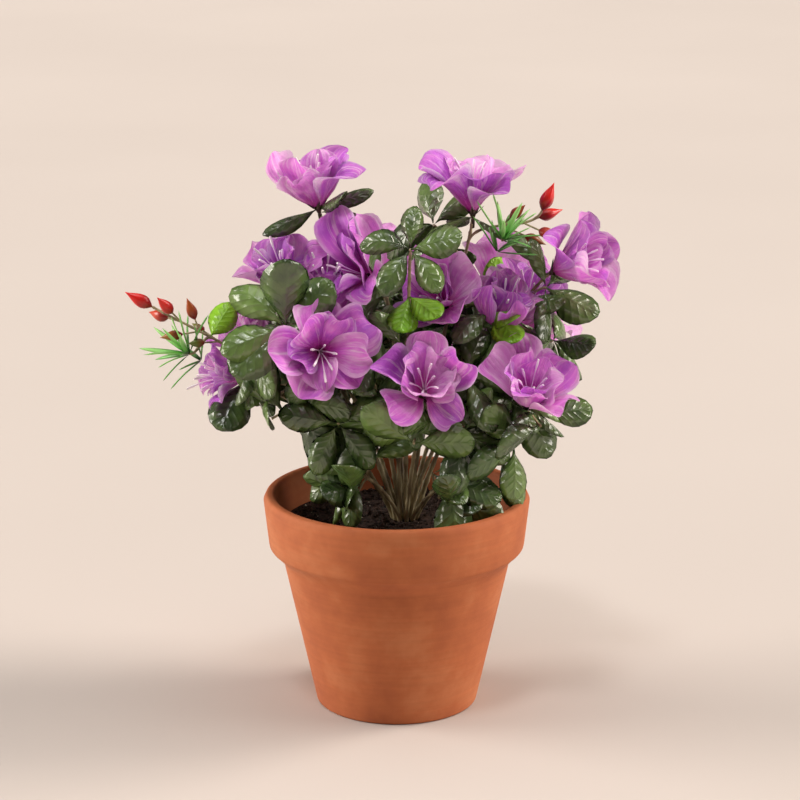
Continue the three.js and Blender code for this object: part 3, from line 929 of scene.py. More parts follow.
def only(obj: bpy.types.Object) -> bpy.types.Object:
    """Selects one object alone and makes it active.

    Args:
        obj: the object.

    Returns:
        The object.
    """
    deselect()
    obj.select_set(True)
    bpy.context.view_layer.objects.active = obj
    return obj

def added(name: str, data: bpy.types.ID) -> bpy.types.Object:
    """Adds an object to the scene, alone selected and active.

    Args:
        name: its name.
        data: its mesh or curve.

    Returns:
        The object.
    """
    obj = bpy.data.objects.new(name, data)
    bpy.context.collection.objects.link(obj)
    return only(obj)


def pick(obj: bpy.types.Object, test: Callable[[Any], bool], mode: str = "VERT") -> None:
    """Selects parts of the mesh in edit mode by a test.

    Args:
        obj: the object in edit mode.
        test: says whether a vertex or an edge is wanted.
        mode: VERT or EDGE.
    """
    bpy.ops.mesh.select_mode(type=mode)
    bpy.ops.mesh.select_all(action="DESELECT")
    mesh = bmesh.from_edit_mesh(obj.data)
    for part in {"VERT": mesh.verts, "EDGE": mesh.edges}[mode]:
        if test(part):
            part.select_set(True)
    mesh.select_flush_mode()
    bmesh.update_edit_mesh(obj.data)


def spun(name: str, section: Sequence[Range], steps: int) -> bpy.types.Object:
    """Spins a section round the pot's axis into a closed mesh.

    Args:
        name: the piece's name.
        section: its points as radius and height in millimetres.
        steps: the steps of a full turn.

    Returns:
        The object.
    """
    mesh = bpy.data.meshes.new(name)
    edges = [(i, i + 1) for i in range(len(section) - 1)]
    mesh.from_pydata([(r * MM, 0, z * MM) for r, z in section], edges, [])
    obj = added(name, mesh)
    bpy.ops.object.mode_set(mode="EDIT")
    bpy.ops.mesh.select_all(action="SELECT")
    bpy.ops.mesh.spin(steps=steps, angle=2 * math.pi, center=(0, 0, 0), axis=(0, 0, 1))
    bpy.ops.mesh.select_all(action="SELECT")
    bpy.ops.mesh.remove_doubles(threshold=0.01 * MM)
    bpy.ops.mesh.normals_make_consistent(inside=False)
    bpy.ops.object.mode_set(mode="OBJECT")
    return obj


def apply_modifier(obj: bpy.types.Object, kind: str, **settings: Any) -> None:
    """Adds a modifier to an object and applies it.

    Args:
        obj: the object.
        kind: the modifier's type.
        settings: its own settings.
    """
    only(obj)
    modifier = obj.modifiers.new(kind.title(), kind)
    for name, value in settings.items():
        setattr(modifier, name, value)
    bpy.ops.object.modifier_apply(modifier=modifier.name)


def finish_piece(
    obj: bpy.types.Object, materials: Sequence[bpy.types.Material], nodes: Iterable[str],
) -> None:
    """Dresses a piece, lets it ride on the frame and hides the solids that it stands for.

    Args:
        obj: the piece.
        materials: its materials, in the order of its faces' indices.
        nodes: the frame's nodes that it replaces.
    """
    obj.data.materials.clear()
    for material in materials:
        obj.data.materials.append(material)
    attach(obj, "root")
    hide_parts(*nodes)
    obj.data.calc_loop_triangles()
    log.info("%s: %d triangles", obj.name, len(obj.data.loop_triangles))


@dataclass
class Sheet:
    """A flat blade of length 1 along +Y, modelled once and then laid along ribs.

    X runs from -1 to 1 over its full width, and Z is its relief as a share of its length.
    """

    outline: tuple[Range, ...]  # places along it, each with its half width
    columns: int
    thickness: float
    groove: float = 0.0  # depth of the fold along its rib

    def model(self) -> "Pattern":
        """Models the blade as two skins that share their edge.

        Returns:
            Its mesh as arrays.
        """
        rows = len(self.outline) - 1
        deselect()
        bpy.ops.mesh.primitive_grid_add(
            x_subdivisions=self.columns, y_subdivisions=rows, size=1, location=(0, 0.5, 0),
            calc_uvs=True,
        )
        obj = bpy.context.object
        bpy.ops.object.transform_apply(location=True, rotation=True, scale=True)
        row_of = [round(v.co.y * rows) for v in obj.data.vertices]
        bpy.ops.object.mode_set(mode="EDIT")
        for row, (along, half) in enumerate(self.outline):
            pick(obj, lambda v, row=row: row_of[v.index] == row)
            bpy.ops.transform.resize(value=(2 * half, 1, 1))
            bpy.ops.transform.translate(value=(0, along - row / rows, 0))
        if self.groove:
            pick(obj, lambda v: abs(v.co.x) < 1e-4 and 0.05 < v.co.y < 0.99)
            bpy.ops.transform.translate(value=(0, 0, -self.groove))
        bpy.ops.mesh.select_all(action="SELECT")
        bpy.ops.mesh.duplicate()
        bpy.ops.mesh.flip_normals()
        self._choose_back(obj)
        bpy.ops.transform.translate(value=(0, 0, -self.thickness))
        bpy.ops.mesh.select_all(action="SELECT")
        bpy.ops.mesh.remove_doubles(threshold=1e-5)
        bpy.ops.object.mode_set(mode="OBJECT")
        return Pattern.take(obj)

    @staticmethod
    def _choose_back(obj: bpy.types.Object) -> None:
        """Gives the selected faces the second material and selects only their inner vertices.

        Args:
            obj: the object in edit mode.
        """
        mesh = bmesh.from_edit_mesh(obj.data)
        for face in mesh.faces:
            if face.select:
                face.material_index = 1
        for vert in mesh.verts:
            vert.select = vert.select and not vert.is_boundary
        mesh.select_flush_mode()
        bmesh.update_edit_mesh(obj.data)


@dataclass
class Pattern:
    """A small mesh as arrays, ready to be copied many times. `fan` runs from -1 to 1 across it."""

    verts: np.ndarray
    faces: list[tuple[int, ...]]
    uvs: np.ndarray
    slots: np.ndarray
    fan: np.ndarray

    @classmethod
    def take(cls, obj: bpy.types.Object) -> "Pattern":
        """Reads an object's mesh and removes the object.

        Args:
            obj: the object.

        Returns:
            Its mesh as arrays.
        """
        mesh = obj.data
        verts = np.empty(len(mesh.vertices) * 3)
        mesh.vertices.foreach_get("co", verts)
        verts = verts.reshape(-1, 3)
        corners = np.empty(len(mesh.loops), int)
        mesh.loops.foreach_get("vertex_index", corners)
        uvs = np.zeros(len(mesh.loops) * 2)
        if mesh.uv_layers:
            mesh.uv_layers[0].data.foreach_get("uv", uvs)
        uvs = uvs.reshape(-1, 2)
        uvs[:, 1] = verts[corners, 1]
        fan = np.zeros(len(verts))
        fan[corners] = 2 * uvs[:, 0] - 1
        faces = [tuple(face.vertices) for face in mesh.polygons]
        slots = np.array([face.material_index for face in mesh.polygons])
        bpy.data.objects.remove(obj)
        return cls(verts, faces, uvs, slots, fan)

    def laid(
        self, blade: Blade, relief: np.ndarray | float = 0.0, shift: np.ndarray | float = 0.0
    ) -> np.ndarray:
        """Bends the pattern along a blade's rib.

        Args:
            blade: the blade that it becomes.
            relief: what is added to its relief, one share of the length for each vertex.
            shift: how far each vertex moves along the rib, as such a share.

        Returns:
            The places of its vertices in millimetres.
        """
        rows = blade.rib()
        v = np.clip(self.verts[:, 1] + shift, 0, 1) * RIB_STEPS
        low = np.minimum(v.astype(int), RIB_STEPS - 1)
        t = (v - low)[:, None]
        middle, level, rise = (row[low] * (1 - t) + row[low + 1] * t for row in rows)
        wide = (self.verts[:, 0] * blade.half_width)[:, None]
        high = ((self.verts[:, 2] + relief) * blade.length)[:, None]
        return middle + level * wide + rise * high


class Batch:
    """Copies of small patterns, joined in one mesh."""

    def __init__(self) -> None:
        """Starts empty."""
        self.verts: list[np.ndarray] = []
        self.faces: list[tuple[int, ...]] = []
        self.uvs: list[np.ndarray] = []
        self.slots: list[np.ndarray] = []
        self.tints: list[np.ndarray] = []
        self.count = 0

    def add(self, pattern: Pattern, verts: np.ndarray, tint: float = 0.5) -> None:
        """Adds a copy of a pattern with its vertices in new places.

        Args:
            pattern: the pattern.
            verts: the places of its vertices in millimetres.
            tint: a value that its finish may read.
        """
        start = self.count
        self.verts.append(verts)
        self.faces.extend(tuple(i + start for i in face) for face in pattern.faces)
        self.uvs.append(pattern.uvs)
        self.slots.append(pattern.slots)
        self.tints.append(np.full(len(verts), tint))
        self.count += len(verts)

    def build(self, name: str, crisp: float = 180.0) -> bpy.types.Object:
        """Makes the mesh.

        Args:
            name: the piece's name.
            crisp: degrees past which an edge isn't smooth, such as the rim of two skins.

        Returns:
            The new object.
        """
        mesh = bpy.data.meshes.new(name)
        mesh.from_pydata(np.concatenate(self.verts) * MM, [], self.faces)
        mesh.polygons.foreach_set("material_index", np.concatenate(self.slots))
        layer = mesh.uv_layers.new(name="UVMap")
        layer.data.foreach_set("uv", np.concatenate(self.uvs).ravel())
        tint = mesh.attributes.new("tint", "FLOAT", "POINT")
        tint.data.foreach_set("value", np.concatenate(self.tints))
        mesh.update()
        obj = added(name, mesh)
        bpy.ops.object.shade_smooth_by_angle(angle=math.radians(crisp))
        return obj


def rods(name: str, lines: Iterable[tuple[np.ndarray, np.ndarray]], sides: int) -> bpy.types.Object:
    """Draws round rods along lines as one mesh.

    Args:
        name: the piece's name.
        lines: for each rod its points and its radii, in millimetres.
        sides: the sides of a rod, an even number from 4.

    Returns:
        The mesh object.
    """
    curve = bpy.data.curves.new(name, "CURVE")
    curve.dimensions = "3D"
    curve.bevel_depth = MM
    curve.bevel_resolution = (sides - 4) // 2
    curve.use_fill_caps = True
    for points, radii in lines:
        spline = curve.splines.new("POLY")
        spline.points.add(len(points) - 1)
        spline.points.foreach_set("co", np.c_[points * MM, np.ones(len(points))].ravel())
        spline.points.foreach_set("radius", np.asarray(radii, float))
    added(name, curve)
    bpy.ops.object.convert(target="MESH")
    obj = bpy.context.object
    obj.name = name
    bpy.ops.object.shade_smooth()
    return obj


# ---------------------------------------------------------------- finishes


def linear(colour: str) -> tuple[float, float, float, float]:
    """Returns an sRGB hex colour as linear red, green, blue and alpha."""
    parts = [int(colour[i : i + 2], 16) / 255 for i in (0, 2, 4)]
    return (*[c / 12.92 if c <= 0.04045 else ((c + 0.055) / 1.055) ** 2.4 for c in parts], 1.0)


def place(
    tree: bpy.types.NodeTree, kind: str, inputs: dict[str | int, Any] | None = None,
    stops: Sequence[tuple[float, str]] = (), **settings: Any,
) -> bpy.types.Node:
    """Adds a node with its settings and links.

    Args:
        tree: the material's nodes.
        kind: the node's type, without its leading ShaderNode.
        inputs: for each socket a value, an sRGB hex colour, or a socket or node to link.
        stops: positions and sRGB hex colours of a colour ramp.
        settings: the node's own settings.

    Returns:
        The node.
    """
    node = tree.nodes.new("ShaderNode" + kind)
    for name, value in settings.items():
        setattr(node, name, value)
    for key, value in (inputs or {}).items():
        if isinstance(value, bpy.types.Node):
            value = value.outputs[0]
        if isinstance(value, bpy.types.NodeSocket):
            tree.links.new(value, node.inputs[key])
        else:
            node.inputs[key].default_value = linear(value) if isinstance(value, str) else value
    for i, (position, colour) in enumerate(stops):
        ramp = node.color_ramp.elements
        stop = ramp[i] if i < 2 else ramp.new(position)
        stop.position = position
        stop.color = linear(colour)
    return node


@dataclass(frozen=True)
class Finish:
    """What every finish has: a name and the steady values of its shader."""

    title: str
    roughness: float = 0.5
    ior: float = 1.5
    sheen: float = 0.0
    glow_through: float = 0.0  # how much of its light goes through thin cloth

    def make(self) -> bpy.types.Material:
        """Makes the material.

        Returns:
            The material.
        """
        material = bpy.data.materials.new(self.title)
        material.use_nodes = True
        tree = material.node_tree
        shader = tree.nodes["Principled BSDF"]
        shader.inputs["Roughness"].default_value = self.roughness
        shader.inputs["IOR"].default_value = self.ior
        shader.inputs["Sheen Weight"].default_value = self.sheen
        shader.inputs["Subsurface Weight"].default_value = self.glow_through
        shader.inputs["Subsurface Radius"].default_value = (1.0, 0.6, 0.9)
        shader.inputs["Subsurface Scale"].default_value = 2.5 * MM
        self.paint(tree, shader)
        return material

    def paint(self, tree: bpy.types.NodeTree, shader: bpy.types.Node) -> None:
        """Adds the nodes of this finish."""
        raise NotImplementedError


@dataclass(frozen=True)
class FiredClay(Finish):
    """Unglazed terracotta turned on a wheel: matt, faintly banded, speckled, with pale bloom."""

    body: str = "ba6638"
    dark: str = "aa5930"
    pale: str = "c8794b"
    grain: float = 0.7  # mm

    def paint(self, tree: bpy.types.NodeTree, shader: bpy.types.Node) -> None:
        """Adds clouding, turning lines and grain."""
        at = place(tree, "TexCoord").outputs["Object"]
        cloud = place(
            tree, "TexNoise",
            {"Vector": at, "Scale": 1 / (38 * MM), "Detail": 4.0, "Roughness": 0.6},
        )
        tone = place(
            tree, "ValToRGB", {"Fac": cloud.outputs["Fac"]},
            [(0.3, self.dark), (0.72, self.pale), (0.5, self.body)],
        )
        flat = place(tree, "Mapping", {"Vector": at, "Scale": (0.05, 0.05, 1.0)})
        bands = place(
            tree, "TexNoise", {"Vector": flat, "Scale": 1 / (2.4 * MM), "Detail": 3.0}
        ).outputs["Fac"]
        grain = place(
            tree, "TexNoise",
            {"Vector": at, "Scale": 1 / (self.grain * MM), "Detail": 5.0, "Roughness": 0.7},
        ).outputs["Fac"]
        specks = place(tree, "ValToRGB", {"Fac": grain}, [(0.27, "6f6f6f"), (0.36, "ffffff")])
        banded = place(tree, "ValToRGB", {"Fac": bands}, [(0.3, "e2e2e2"), (0.7, "ffffff")])
        colour = tone.outputs[0]
        for share, layer in ((0.35, specks), (0.4, banded)):
            colour = place(
                tree, "Mix", {0: share, 6: colour, 7: layer},
                data_type="RGBA", blend_type="MULTIPLY",
            ).outputs[2]
        tree.links.new(colour, shader.inputs["Base Color"])
        height = place(tree, "Math", {0: bands, 1: grain}, operation="ADD")
        bump = place(tree, "Bump", {"Height": height, "Strength": 0.25, "Distance": 0.35 * MM})
        tree.links.new(bump.outputs[0], shader.inputs["Normal"])


@dataclass(frozen=True, kw_only=True)
class Tinted(Finish):
    """Two tones mottled by one noise, with a relief or none, for small parts and the floor."""

    low: str
    high: str
    scale: float = 4.0  # mm
    detail: float = 3.0
    rough: float = 0.5  # of the noise
    stops: Range = (0.35, 0.65)
    stretch: Spot | None = None
    relief: float = 0.0  # mm
    relief_scale: float = 0.0  # mm, where the relief has a noise of its own
    strength: float = 0.5

    def paint(self, tree: bpy.types.NodeTree, shader: bpy.types.Node) -> None:
        """Adds the mottling and the relief."""
        at = place(tree, "TexCoord").outputs["Object"]
        if self.stretch:
            at = place(tree, "Mapping", {"Vector": at, "Scale": self.stretch}).outputs[0]
        marks = place(
            tree, "TexNoise",
            {"Vector": at, "Scale": 1 / (self.scale * MM), "Detail": self.detail,
             "Roughness": self.rough},
        ).outputs["Fac"]
        tones = list(zip(self.stops, (self.low, self.high)))
        tone = place(tree, "ValToRGB", {"Fac": marks}, tones)
        tree.links.new(tone.outputs[0], shader.inputs["Base Color"])
        if not self.relief:
            return
        if self.relief_scale:
            marks = place(
                tree, "TexNoise",
                {"Vector": at, "Scale": 1 / (self.relief_scale * MM), "Detail": 3.0},
            ).outputs["Fac"]
        height = {"Height": marks, "Strength": self.strength, "Distance": self.relief * MM}
        tree.links.new(place(tree, "Bump", height).outputs[0], shader.inputs["Normal"])


@dataclass(frozen=True, kw_only=True)
class PottingSoil(Tinted):
    """Damp peat with fine fibres: almost black, rough, with brown crumbs."""

    low: str = "17100e"
    high: str = "5a4034"
    scale: float = 2.2
    detail: float = 6.0
    rough: float = 0.75
    stops: Range = (0.38, 0.68)
    relief: float = 1.2
    strength: float = 0.9


@dataclass(frozen=True, kw_only=True)
class StemSleeve(Tinted):
    """Moulded polyethylene over wire: satin, brown with olive and grey stretches, grooved along."""

    low: str = "66553a"
    high: str = "c2b58c"
    scale: float = 7.0
    detail: float = 4.0
    stops: Range = (0.36, 0.66)
    stretch: Spot | None = (1.0, 1.0, 0.3)
    relief: float = 0.25
    relief_scale: float = 0.8


@dataclass(frozen=True, kw_only=True)
class PressedLeaf(Finish):
    """Dyed cloth pressed with veins and dipped in soft plastic: deep green with a wet gloss."""

    deep: str
    fresh: str
    veins: float = 7.0  # side veins on each side of the rib
    relief: float = 1.0  # mm
    net: float = 5.4  # mm between the puckers, coarser than the real ones so that they show

    def paint(self, tree: bpy.types.NodeTree, shader: bpy.types.Node) -> None:
        """Adds mottling and the pressed veins."""
        at = place(tree, "TexCoord").outputs["Object"]
        mottle = place(tree, "TexNoise", {"Vector": at, "Scale": 1 / (11 * MM), "Detail": 4.0})
        tint = place(tree, "Attribute", attribute_name="tint").outputs["Fac"]
        shade = place(
            tree, "Math", {0: tint, 1: 0.35, 2: mottle.outputs["Fac"]}, operation="MULTIPLY_ADD"
        )
        tone = place(tree, "ValToRGB", {"Fac": shade}, [(0.45, self.deep), (0.9, self.fresh)])
        tree.links.new(tone.outputs[0], shader.inputs["Base Color"])
        uv = place(tree, "SeparateXYZ", {0: place(tree, "UVMap", uv_map="UVMap")})
        side = place(tree, "Math", {0: uv, 1: 0.5}, operation="SUBTRACT")
        side = place(tree, "Math", {0: side}, operation="ABSOLUTE")
        slant = place(tree, "Math", {0: side, 1: -3.4}, operation="MULTIPLY")
        steps = place(
            tree, "Math", {0: uv.outputs[1], 1: self.veins, 2: slant},
            operation="MULTIPLY_ADD",
        )
        fields = place(tree, "Math", {0: steps, 1: 0.5}, operation="PINGPONG")
        quilt = place(
            tree, "ValToRGB", {"Fac": fields},
            [(0.0, "000000"), (0.32, "ffffff"), (0.14, "c8c8c8")],
        )
        rib = place(tree, "ValToRGB", {"Fac": side}, [(0.0, "000000"), (0.07, "ffffff")])
        height = place(tree, "Math", {0: quilt, 1: rib}, operation="MULTIPLY")
        net = place(
            tree, "TexVoronoi", {"Vector": at, "Scale": 1 / (self.net * MM)}, feature="SMOOTH_F1"
        )
        soft = place(tree, "Math", {0: height, 1: 0.4}, operation="MULTIPLY")
        total = place(
            tree, "Math", {0: net.outputs["Distance"], 1: -1.5, 2: soft},
            operation="MULTIPLY_ADD",
        )
        bump = place(
            tree, "Bump",
            {"Height": total, "Strength": 0.75, "Distance": self.relief * MM},
        )
        tree.links.new(bump.outputs[0], shader.inputs["Normal"])


@dataclass(frozen=True, kw_only=True)
class LeafBack(Tinted):
    """The undyed back of a pressed leaf: matt cloth without veins."""

    scale: float = 9.0
    stops: Range = (0.35, 0.68)


@dataclass(frozen=True)
class PrintedPetal(Finish):
    """Woven polyester printed and pressed in a fan of pleats: satin, magenta at the root and
    violet above, with painted highlights: pale streaks on the pleats and a pale margin, standing in
    for the satin's sheen. `tint` makes one petal paler than the next."""

    root: str = "d42eac"
    deep: str = "b84cce"
    middle: str = "e06eda"
    pale: str = "f4aaec"
    # painted highlight: the pale tone of the sheen on the pleats and margins, and how strongly the
    # pleat streaks show
    highlight_tone: str = "fbdcf6"
    highlight_strength: float = 0.55
    crumple: float = 4.5  # mm

    def paint(self, tree: bpy.types.NodeTree, shader: bpy.types.Node) -> None:
        """Adds the print, the pleats, and the painted highlights on the pleats and the margins."""
        uv = place(tree, "SeparateXYZ", {0: place(tree, "UVMap", uv_map="UVMap")})
        u, v = uv.outputs[0], uv.outputs[1]
        tint = place(tree, "Attribute", attribute_name="tint").outputs["Fac"]
        slow = place(tree, "Math", {0: v, 1: 0.1}, operation="MULTIPLY")
        lift = place(tree, "Math", {0: tint, 1: 9.0}, operation="MULTIPLY")
        fan = place(tree, "CombineXYZ", {0: u, 1: slow, 2: lift})
        fine = place(
            tree, "TexNoise",
            {"Vector": fan, "Scale": 12.0, "Detail": 4.0, "Roughness": 0.6},
        )
        loose = place(tree, "CombineXYZ", {0: u, 1: v, 2: lift})
        broad = place(tree, "TexNoise", {"Vector": loose, "Scale": 2.6, "Detail": 2.0})
        grain = place(
            tree, "Math", {0: fine.outputs["Fac"], 1: 0.45, 2: broad.outputs["Fac"]},
            operation="MULTIPLY_ADD",
        )
        blend = place(tree, "Math", {0: tint, 1: 0.6, 2: grain}, operation="MULTIPLY_ADD")
        wash = place(tree, "MapRange", {0: blend, 1: 0.75, 2: 1.4, 3: 0.0, 4: 1.0})
        tone = place(
            tree, "ValToRGB", {"Fac": wash},
            [(0.1, self.deep), (0.95, self.pale), (0.5, self.middle)],
        )
        heart = place(tree, "MapRange", {0: v, 1: 0.08, 2: 0.5, 3: 1.0, 4: 0.0})
        body = place(tree, "Mix", {0: heart, 6: tone, 7: self.root}, data_type="RGBA")
        # painted highlight: pale streaks along the pleats stand in for the satin's sheen, faded out
        # towards the root
        lines = place(
            tree, "MapRange", {0: fine.outputs["Fac"], 1: 0.53, 2: 0.68, 3: 0.0, 4: self.highlight_strength}
        )
        reach = place(tree, "MapRange", {0: v, 1: 0.12, 2: 0.45, 3: 0.0, 4: 1.0})
        pleat_highlight = place(tree, "Math", {0: lines, 1: reach}, operation="MULTIPLY")
        # painted highlight: a pale line along the petal's edges, where the edge catches the light
        side = place(tree, "Math", {0: u, 1: 0.5}, operation="SUBTRACT")
        side = place(tree, "Math", {0: side}, operation="ABSOLUTE")
        edge_highlight = place(tree, "MapRange", {0: side, 1: 0.4, 2: 0.5, 3: 0.0, 4: 0.22})
        highlight_mix = place(tree, "Math", {0: pleat_highlight, 1: edge_highlight}, operation="MAXIMUM")
        # the painted highlights lay the pale tone over the print
        last = place(tree, "Mix", {0: highlight_mix, 6: body.outputs[2], 7: self.highlight_tone}, data_type="RGBA")
        tree.links.new(last.outputs[2], shader.inputs["Base Color"])
        at = place(tree, "TexCoord").outputs["Object"]
        crumple = place(
            tree, "TexNoise", {"Vector": at, "Scale": 1 / (self.crumple * MM), "Detail": 3.0}
        )
        height = place(
            tree, "Math", {0: crumple.outputs["Fac"], 1: 0.9, 2: fine.outputs["Fac"]},
            operation="MULTIPLY_ADD",
        )
        bump = place(tree, "Bump", {"Height": height, "Strength": 0.9, "Distance": 0.9 * MM})
        tree.links.new(bump.outputs[0], shader.inputs["Normal"])


@dataclass(frozen=True, kw_only=True)
class DyedPlastic(Finish):
    """Moulded polyethylene in one colour that shades to another along the piece."""

    start: str
    end: str
    unripe: str = ""  # the colour at the end of a piece with no tint

    def paint(self, tree: bpy.types.NodeTree, shader: bpy.types.Node) -> None:
        """Adds the shading from root to tip."""
        uv = place(tree, "SeparateXYZ", {0: place(tree, "UVMap", uv_map="UVMap")})
        tip = self.end
        if self.unripe:
            tint = place(tree, "Attribute", attribute_name="tint").outputs["Fac"]
            ripened = {0: tint, 6: self.unripe, 7: self.end}
            tip = place(tree, "Mix", ripened, data_type="RGBA").outputs[2]
        share = place(tree, "MapRange", {0: uv.outputs[1], 1: 0.15, 2: 0.6, 3: 0.0, 4: 1.0})
        tone = place(tree, "Mix", {0: share, 6: self.start, 7: tip}, data_type="RGBA")
        tree.links.new(tone.outputs[2], shader.inputs["Base Color"])
        at = place(tree, "TexCoord").outputs["Object"]
        skin = place(tree, "TexNoise", {"Vector": at, "Scale": 1 / (1.5 * MM), "Detail": 2.0})
        bump = place(
            tree, "Bump", {"Height": skin.outputs["Fac"], "Strength": 0.2, "Distance": 0.2 * MM}
        )
        tree.links.new(bump.outputs[0], shader.inputs["Normal"])


# ---------------------------------------------------------------- sub-assemblies


@dataclass
class Flowerpot:
    """The clay pot: tapered body, tall band and rounded lip, in millimetres."""

    height: float = 131.0
    foot_radius: float = 49.0
    body_top: Range = (67.5, 88.0)
    cove: tuple[Range, ...] = ((1.0, 2.2), (4.0, 5.6))  # out and up from there to the band
    band_foot: Range = (77.0, 101.0)
    band_radius: float = 80.0
    rim_draft: float = 1.0
    shoulder: float = 4.0
    lip: float = 6.0
    foot_round: float = 2.0
    rim_round: float = 2.2
    inner_round: float = 2.0
    steps: int = 120

    def profile(self) -> list[Range]:
        """Draws the section from the middle of the foot round to the middle of the inner floor.

        Returns:
            Its points as radius and height.
        """
        top, outer = self.height, self.band_radius - self.rim_draft
        inner = outer - self.lip
        body, body_top = self.body_top
        band, band_foot = self.band_foot
        foot, rim, inside = self.foot_round, self.rim_round, self.inner_round
        return [
            (NEAR_AXIS, 0.0),
            *self._arc(self.foot_radius - foot, foot, foot, (-90, 0)),
            *self._arc(body - 1.5, body_top - 2, 1.5, (-8, 8), 3),
            *((body + out, body_top + up) for out, up in self.cove),
            *self._arc(band - 3.5, band_foot - 0.5, 3.5, (-70, 0), 4),
            (self.band_radius, top - self.shoulder),
            *self._arc(outer - rim, top - rim, rim, (12, 90)),
            *self._arc(inner + inside, top - inside, inside, (90, 180)),
            *((lerp(POT_INNER_FOOT, inner, t), lerp(POT_FLOOR, top, t)) for t in (0.9, 0.5)),
            (POT_INNER_FOOT, POT_FLOOR),
            (NEAR_AXIS, POT_FLOOR),
        ]

    @staticmethod
    def _arc(x: float, z: float, radius: float, turn: Range, count: int = 5) -> list[Range]:
        """Draws a rounded corner.

        Args:
            x: the radius at which its centre lies.
            z: its centre's height.
            radius: its own radius.
            turn: where it starts and ends, in degrees.
            count: how many points it has.

        Returns:
            Its points as radius and height.
        """
        turns = [math.radians(lerp(*turn, i / (count - 1))) for i in range(count)]
        return [(x + radius * math.cos(a), z + radius * math.sin(a)) for a in turns]

    def build(self) -> None:
        """Spins the section into the pot and dresses it."""
        obj = spun("flowerpot", self.profile(), self.steps)
        bpy.ops.object.shade_smooth_by_angle(angle=math.radians(40))
        clay = FiredClay("fired terracotta", roughness=0.78).make()
        finish_piece(obj, [clay], ["pot"])


@dataclass
class SoilBed:
    """The filling: a lumpy top with crumbs and pale grit on a plain body."""

    floor: float = 9.3
    rim: Range = (73.0, 129.5)
    edge: float = 111.5
    skirt: float = 4.0  # how far under its edge it leaves the pot's wall
    gap: float = 0.36  # to the pot's wall
    level: float = 20.0  # the radius of its level middle
    slope: float = 24.0  # from there to the edge
    lump: float = 6.0
    relief: float = 2.6
    stretches: tuple[Range, ...] = ((0.8, 1.5), (0.7, 1.1), (0.5, 0.9))  # of a crumb, each way
    rings: int = 26
    sectors: int = 96
    crumbs: int = 1500
    grit: int = 70

    def wall(self, z: float) -> float:
        """Returns the pot's inner radius at a height."""
        share = (z - POT_FLOOR) / (self.rim[1] - POT_FLOOR)
        return lerp(POT_INNER_FOOT, self.rim[0], share) - self.gap

    def top(self, radius: float) -> float:
        """Returns the height of the soil at a radius."""
        share = min(1, max(0, (radius - self.level) / self.slope))
        return lerp(SOIL_CROWN, self.edge, share)

    def build(self) -> None:
        """Builds the bed, its crumbs and its grit."""
        peat = PottingSoil("damp peat", roughness=0.92).make()
        pale = Tinted("perlite grit", roughness=0.8, low="b9ada0", high="e6dccf").make()
        finish_piece(self._bed(), [peat], ["soil"])
        crumbs = self._scatter("soil_crumbs", self.crumbs, (0.7, 2.3), 31)
        finish_piece(crumbs, [peat], ["soil"])
        grit = self._scatter("soil_grit", self.grit, (0.35, 0.8), 32)
        finish_piece(grit, [pale], ["soil"])

    def _bed(self) -> bpy.types.Object:
        """Spins the bed's section and roughens its top.

        Returns:
            The bed.
        """
        edge = self.wall(self.edge)
        radii = [edge * i / self.rings for i in range(self.rings, 0, -1)]
        section = [
            (NEAR_AXIS, self.floor), (self.wall(self.floor), self.floor),
            (edge, self.edge - self.skirt), *((r, self.top(r)) for r in radii),
            (NEAR_AXIS, SOIL_CROWN),
        ]
        obj = spun("soil_bed", section, self.sectors)
        inner, low = edge * MM * 0.99, (self.edge - 1) * MM
        upper = [
            v.index for v in obj.data.vertices
            if v.co.z > low and math.hypot(v.co.x, v.co.y) < inner
        ]
        obj.vertex_groups.new(name="top").add(upper, 1.0, "REPLACE")
        lumps = bpy.data.textures.new("lumps", "CLOUDS")
        lumps.noise_scale = self.lump * MM
        lumps.noise_depth = 3
        apply_modifier(
            obj, "DISPLACE", texture=lumps, strength=self.relief * MM, mid_level=0.5,
            vertex_group="top",
        )
        only(obj)
        bpy.ops.object.shade_smooth_by_angle(angle=math.radians(50))
        return obj

    def _scatter(self, name: str, count: int, sizes: Range, seed: int) -> bpy.types.Object:
        """Scatters crumbs of one kind over the bed.

        Args:
            name: the piece's name.
            count: how many crumbs.
            sizes: the smallest and largest radius.
            seed: the seed of their places.

        Returns:
            The joined crumbs.
        """
        draw = Draw(seed)
        deselect()
        bpy.ops.mesh.primitive_ico_sphere_add(subdivisions=1, radius=1)
        obj = bpy.context.object
        bpy.ops.object.mode_set(mode="EDIT")
        bpy.ops.mesh.select_all(action="SELECT")
        bpy.ops.transform.vertex_random(offset=0.35, uniform=0.2, seed=seed)
        bpy.ops.object.mode_set(mode="OBJECT")
        crumb = Pattern.take(obj)
        batch = Batch()
        for _ in range(count):
            size = lerp(*sizes, draw() ** 2.5)
            radius = (self.wall(self.edge) - size - 0.6) * math.sqrt(draw())
            way = facing(360 * draw(), 0)
            height = self.top(radius) + size * draw.spread(-0.2, 0.5)
            # three directions are drawn, and the first two of them turn the crumb
            a, b, _ = (unit(np.array([draw() - 0.5 for _ in range(3)]) + 1e-3) for _ in range(3))
            turn = np.array([a, unit(np.cross(a, b)), unit(np.cross(a, np.cross(a, b)))])
            stretch = np.array([draw.spread(*share) for share in self.stretches])
            at = way * radius + np.array([0, 0, height])
            batch.add(crumb, (crumb.verts * stretch * size) @ turn + at)
        obj = batch.build(name)
        bpy.ops.object.shade_smooth_by_angle(angle=math.radians(30))
        return obj


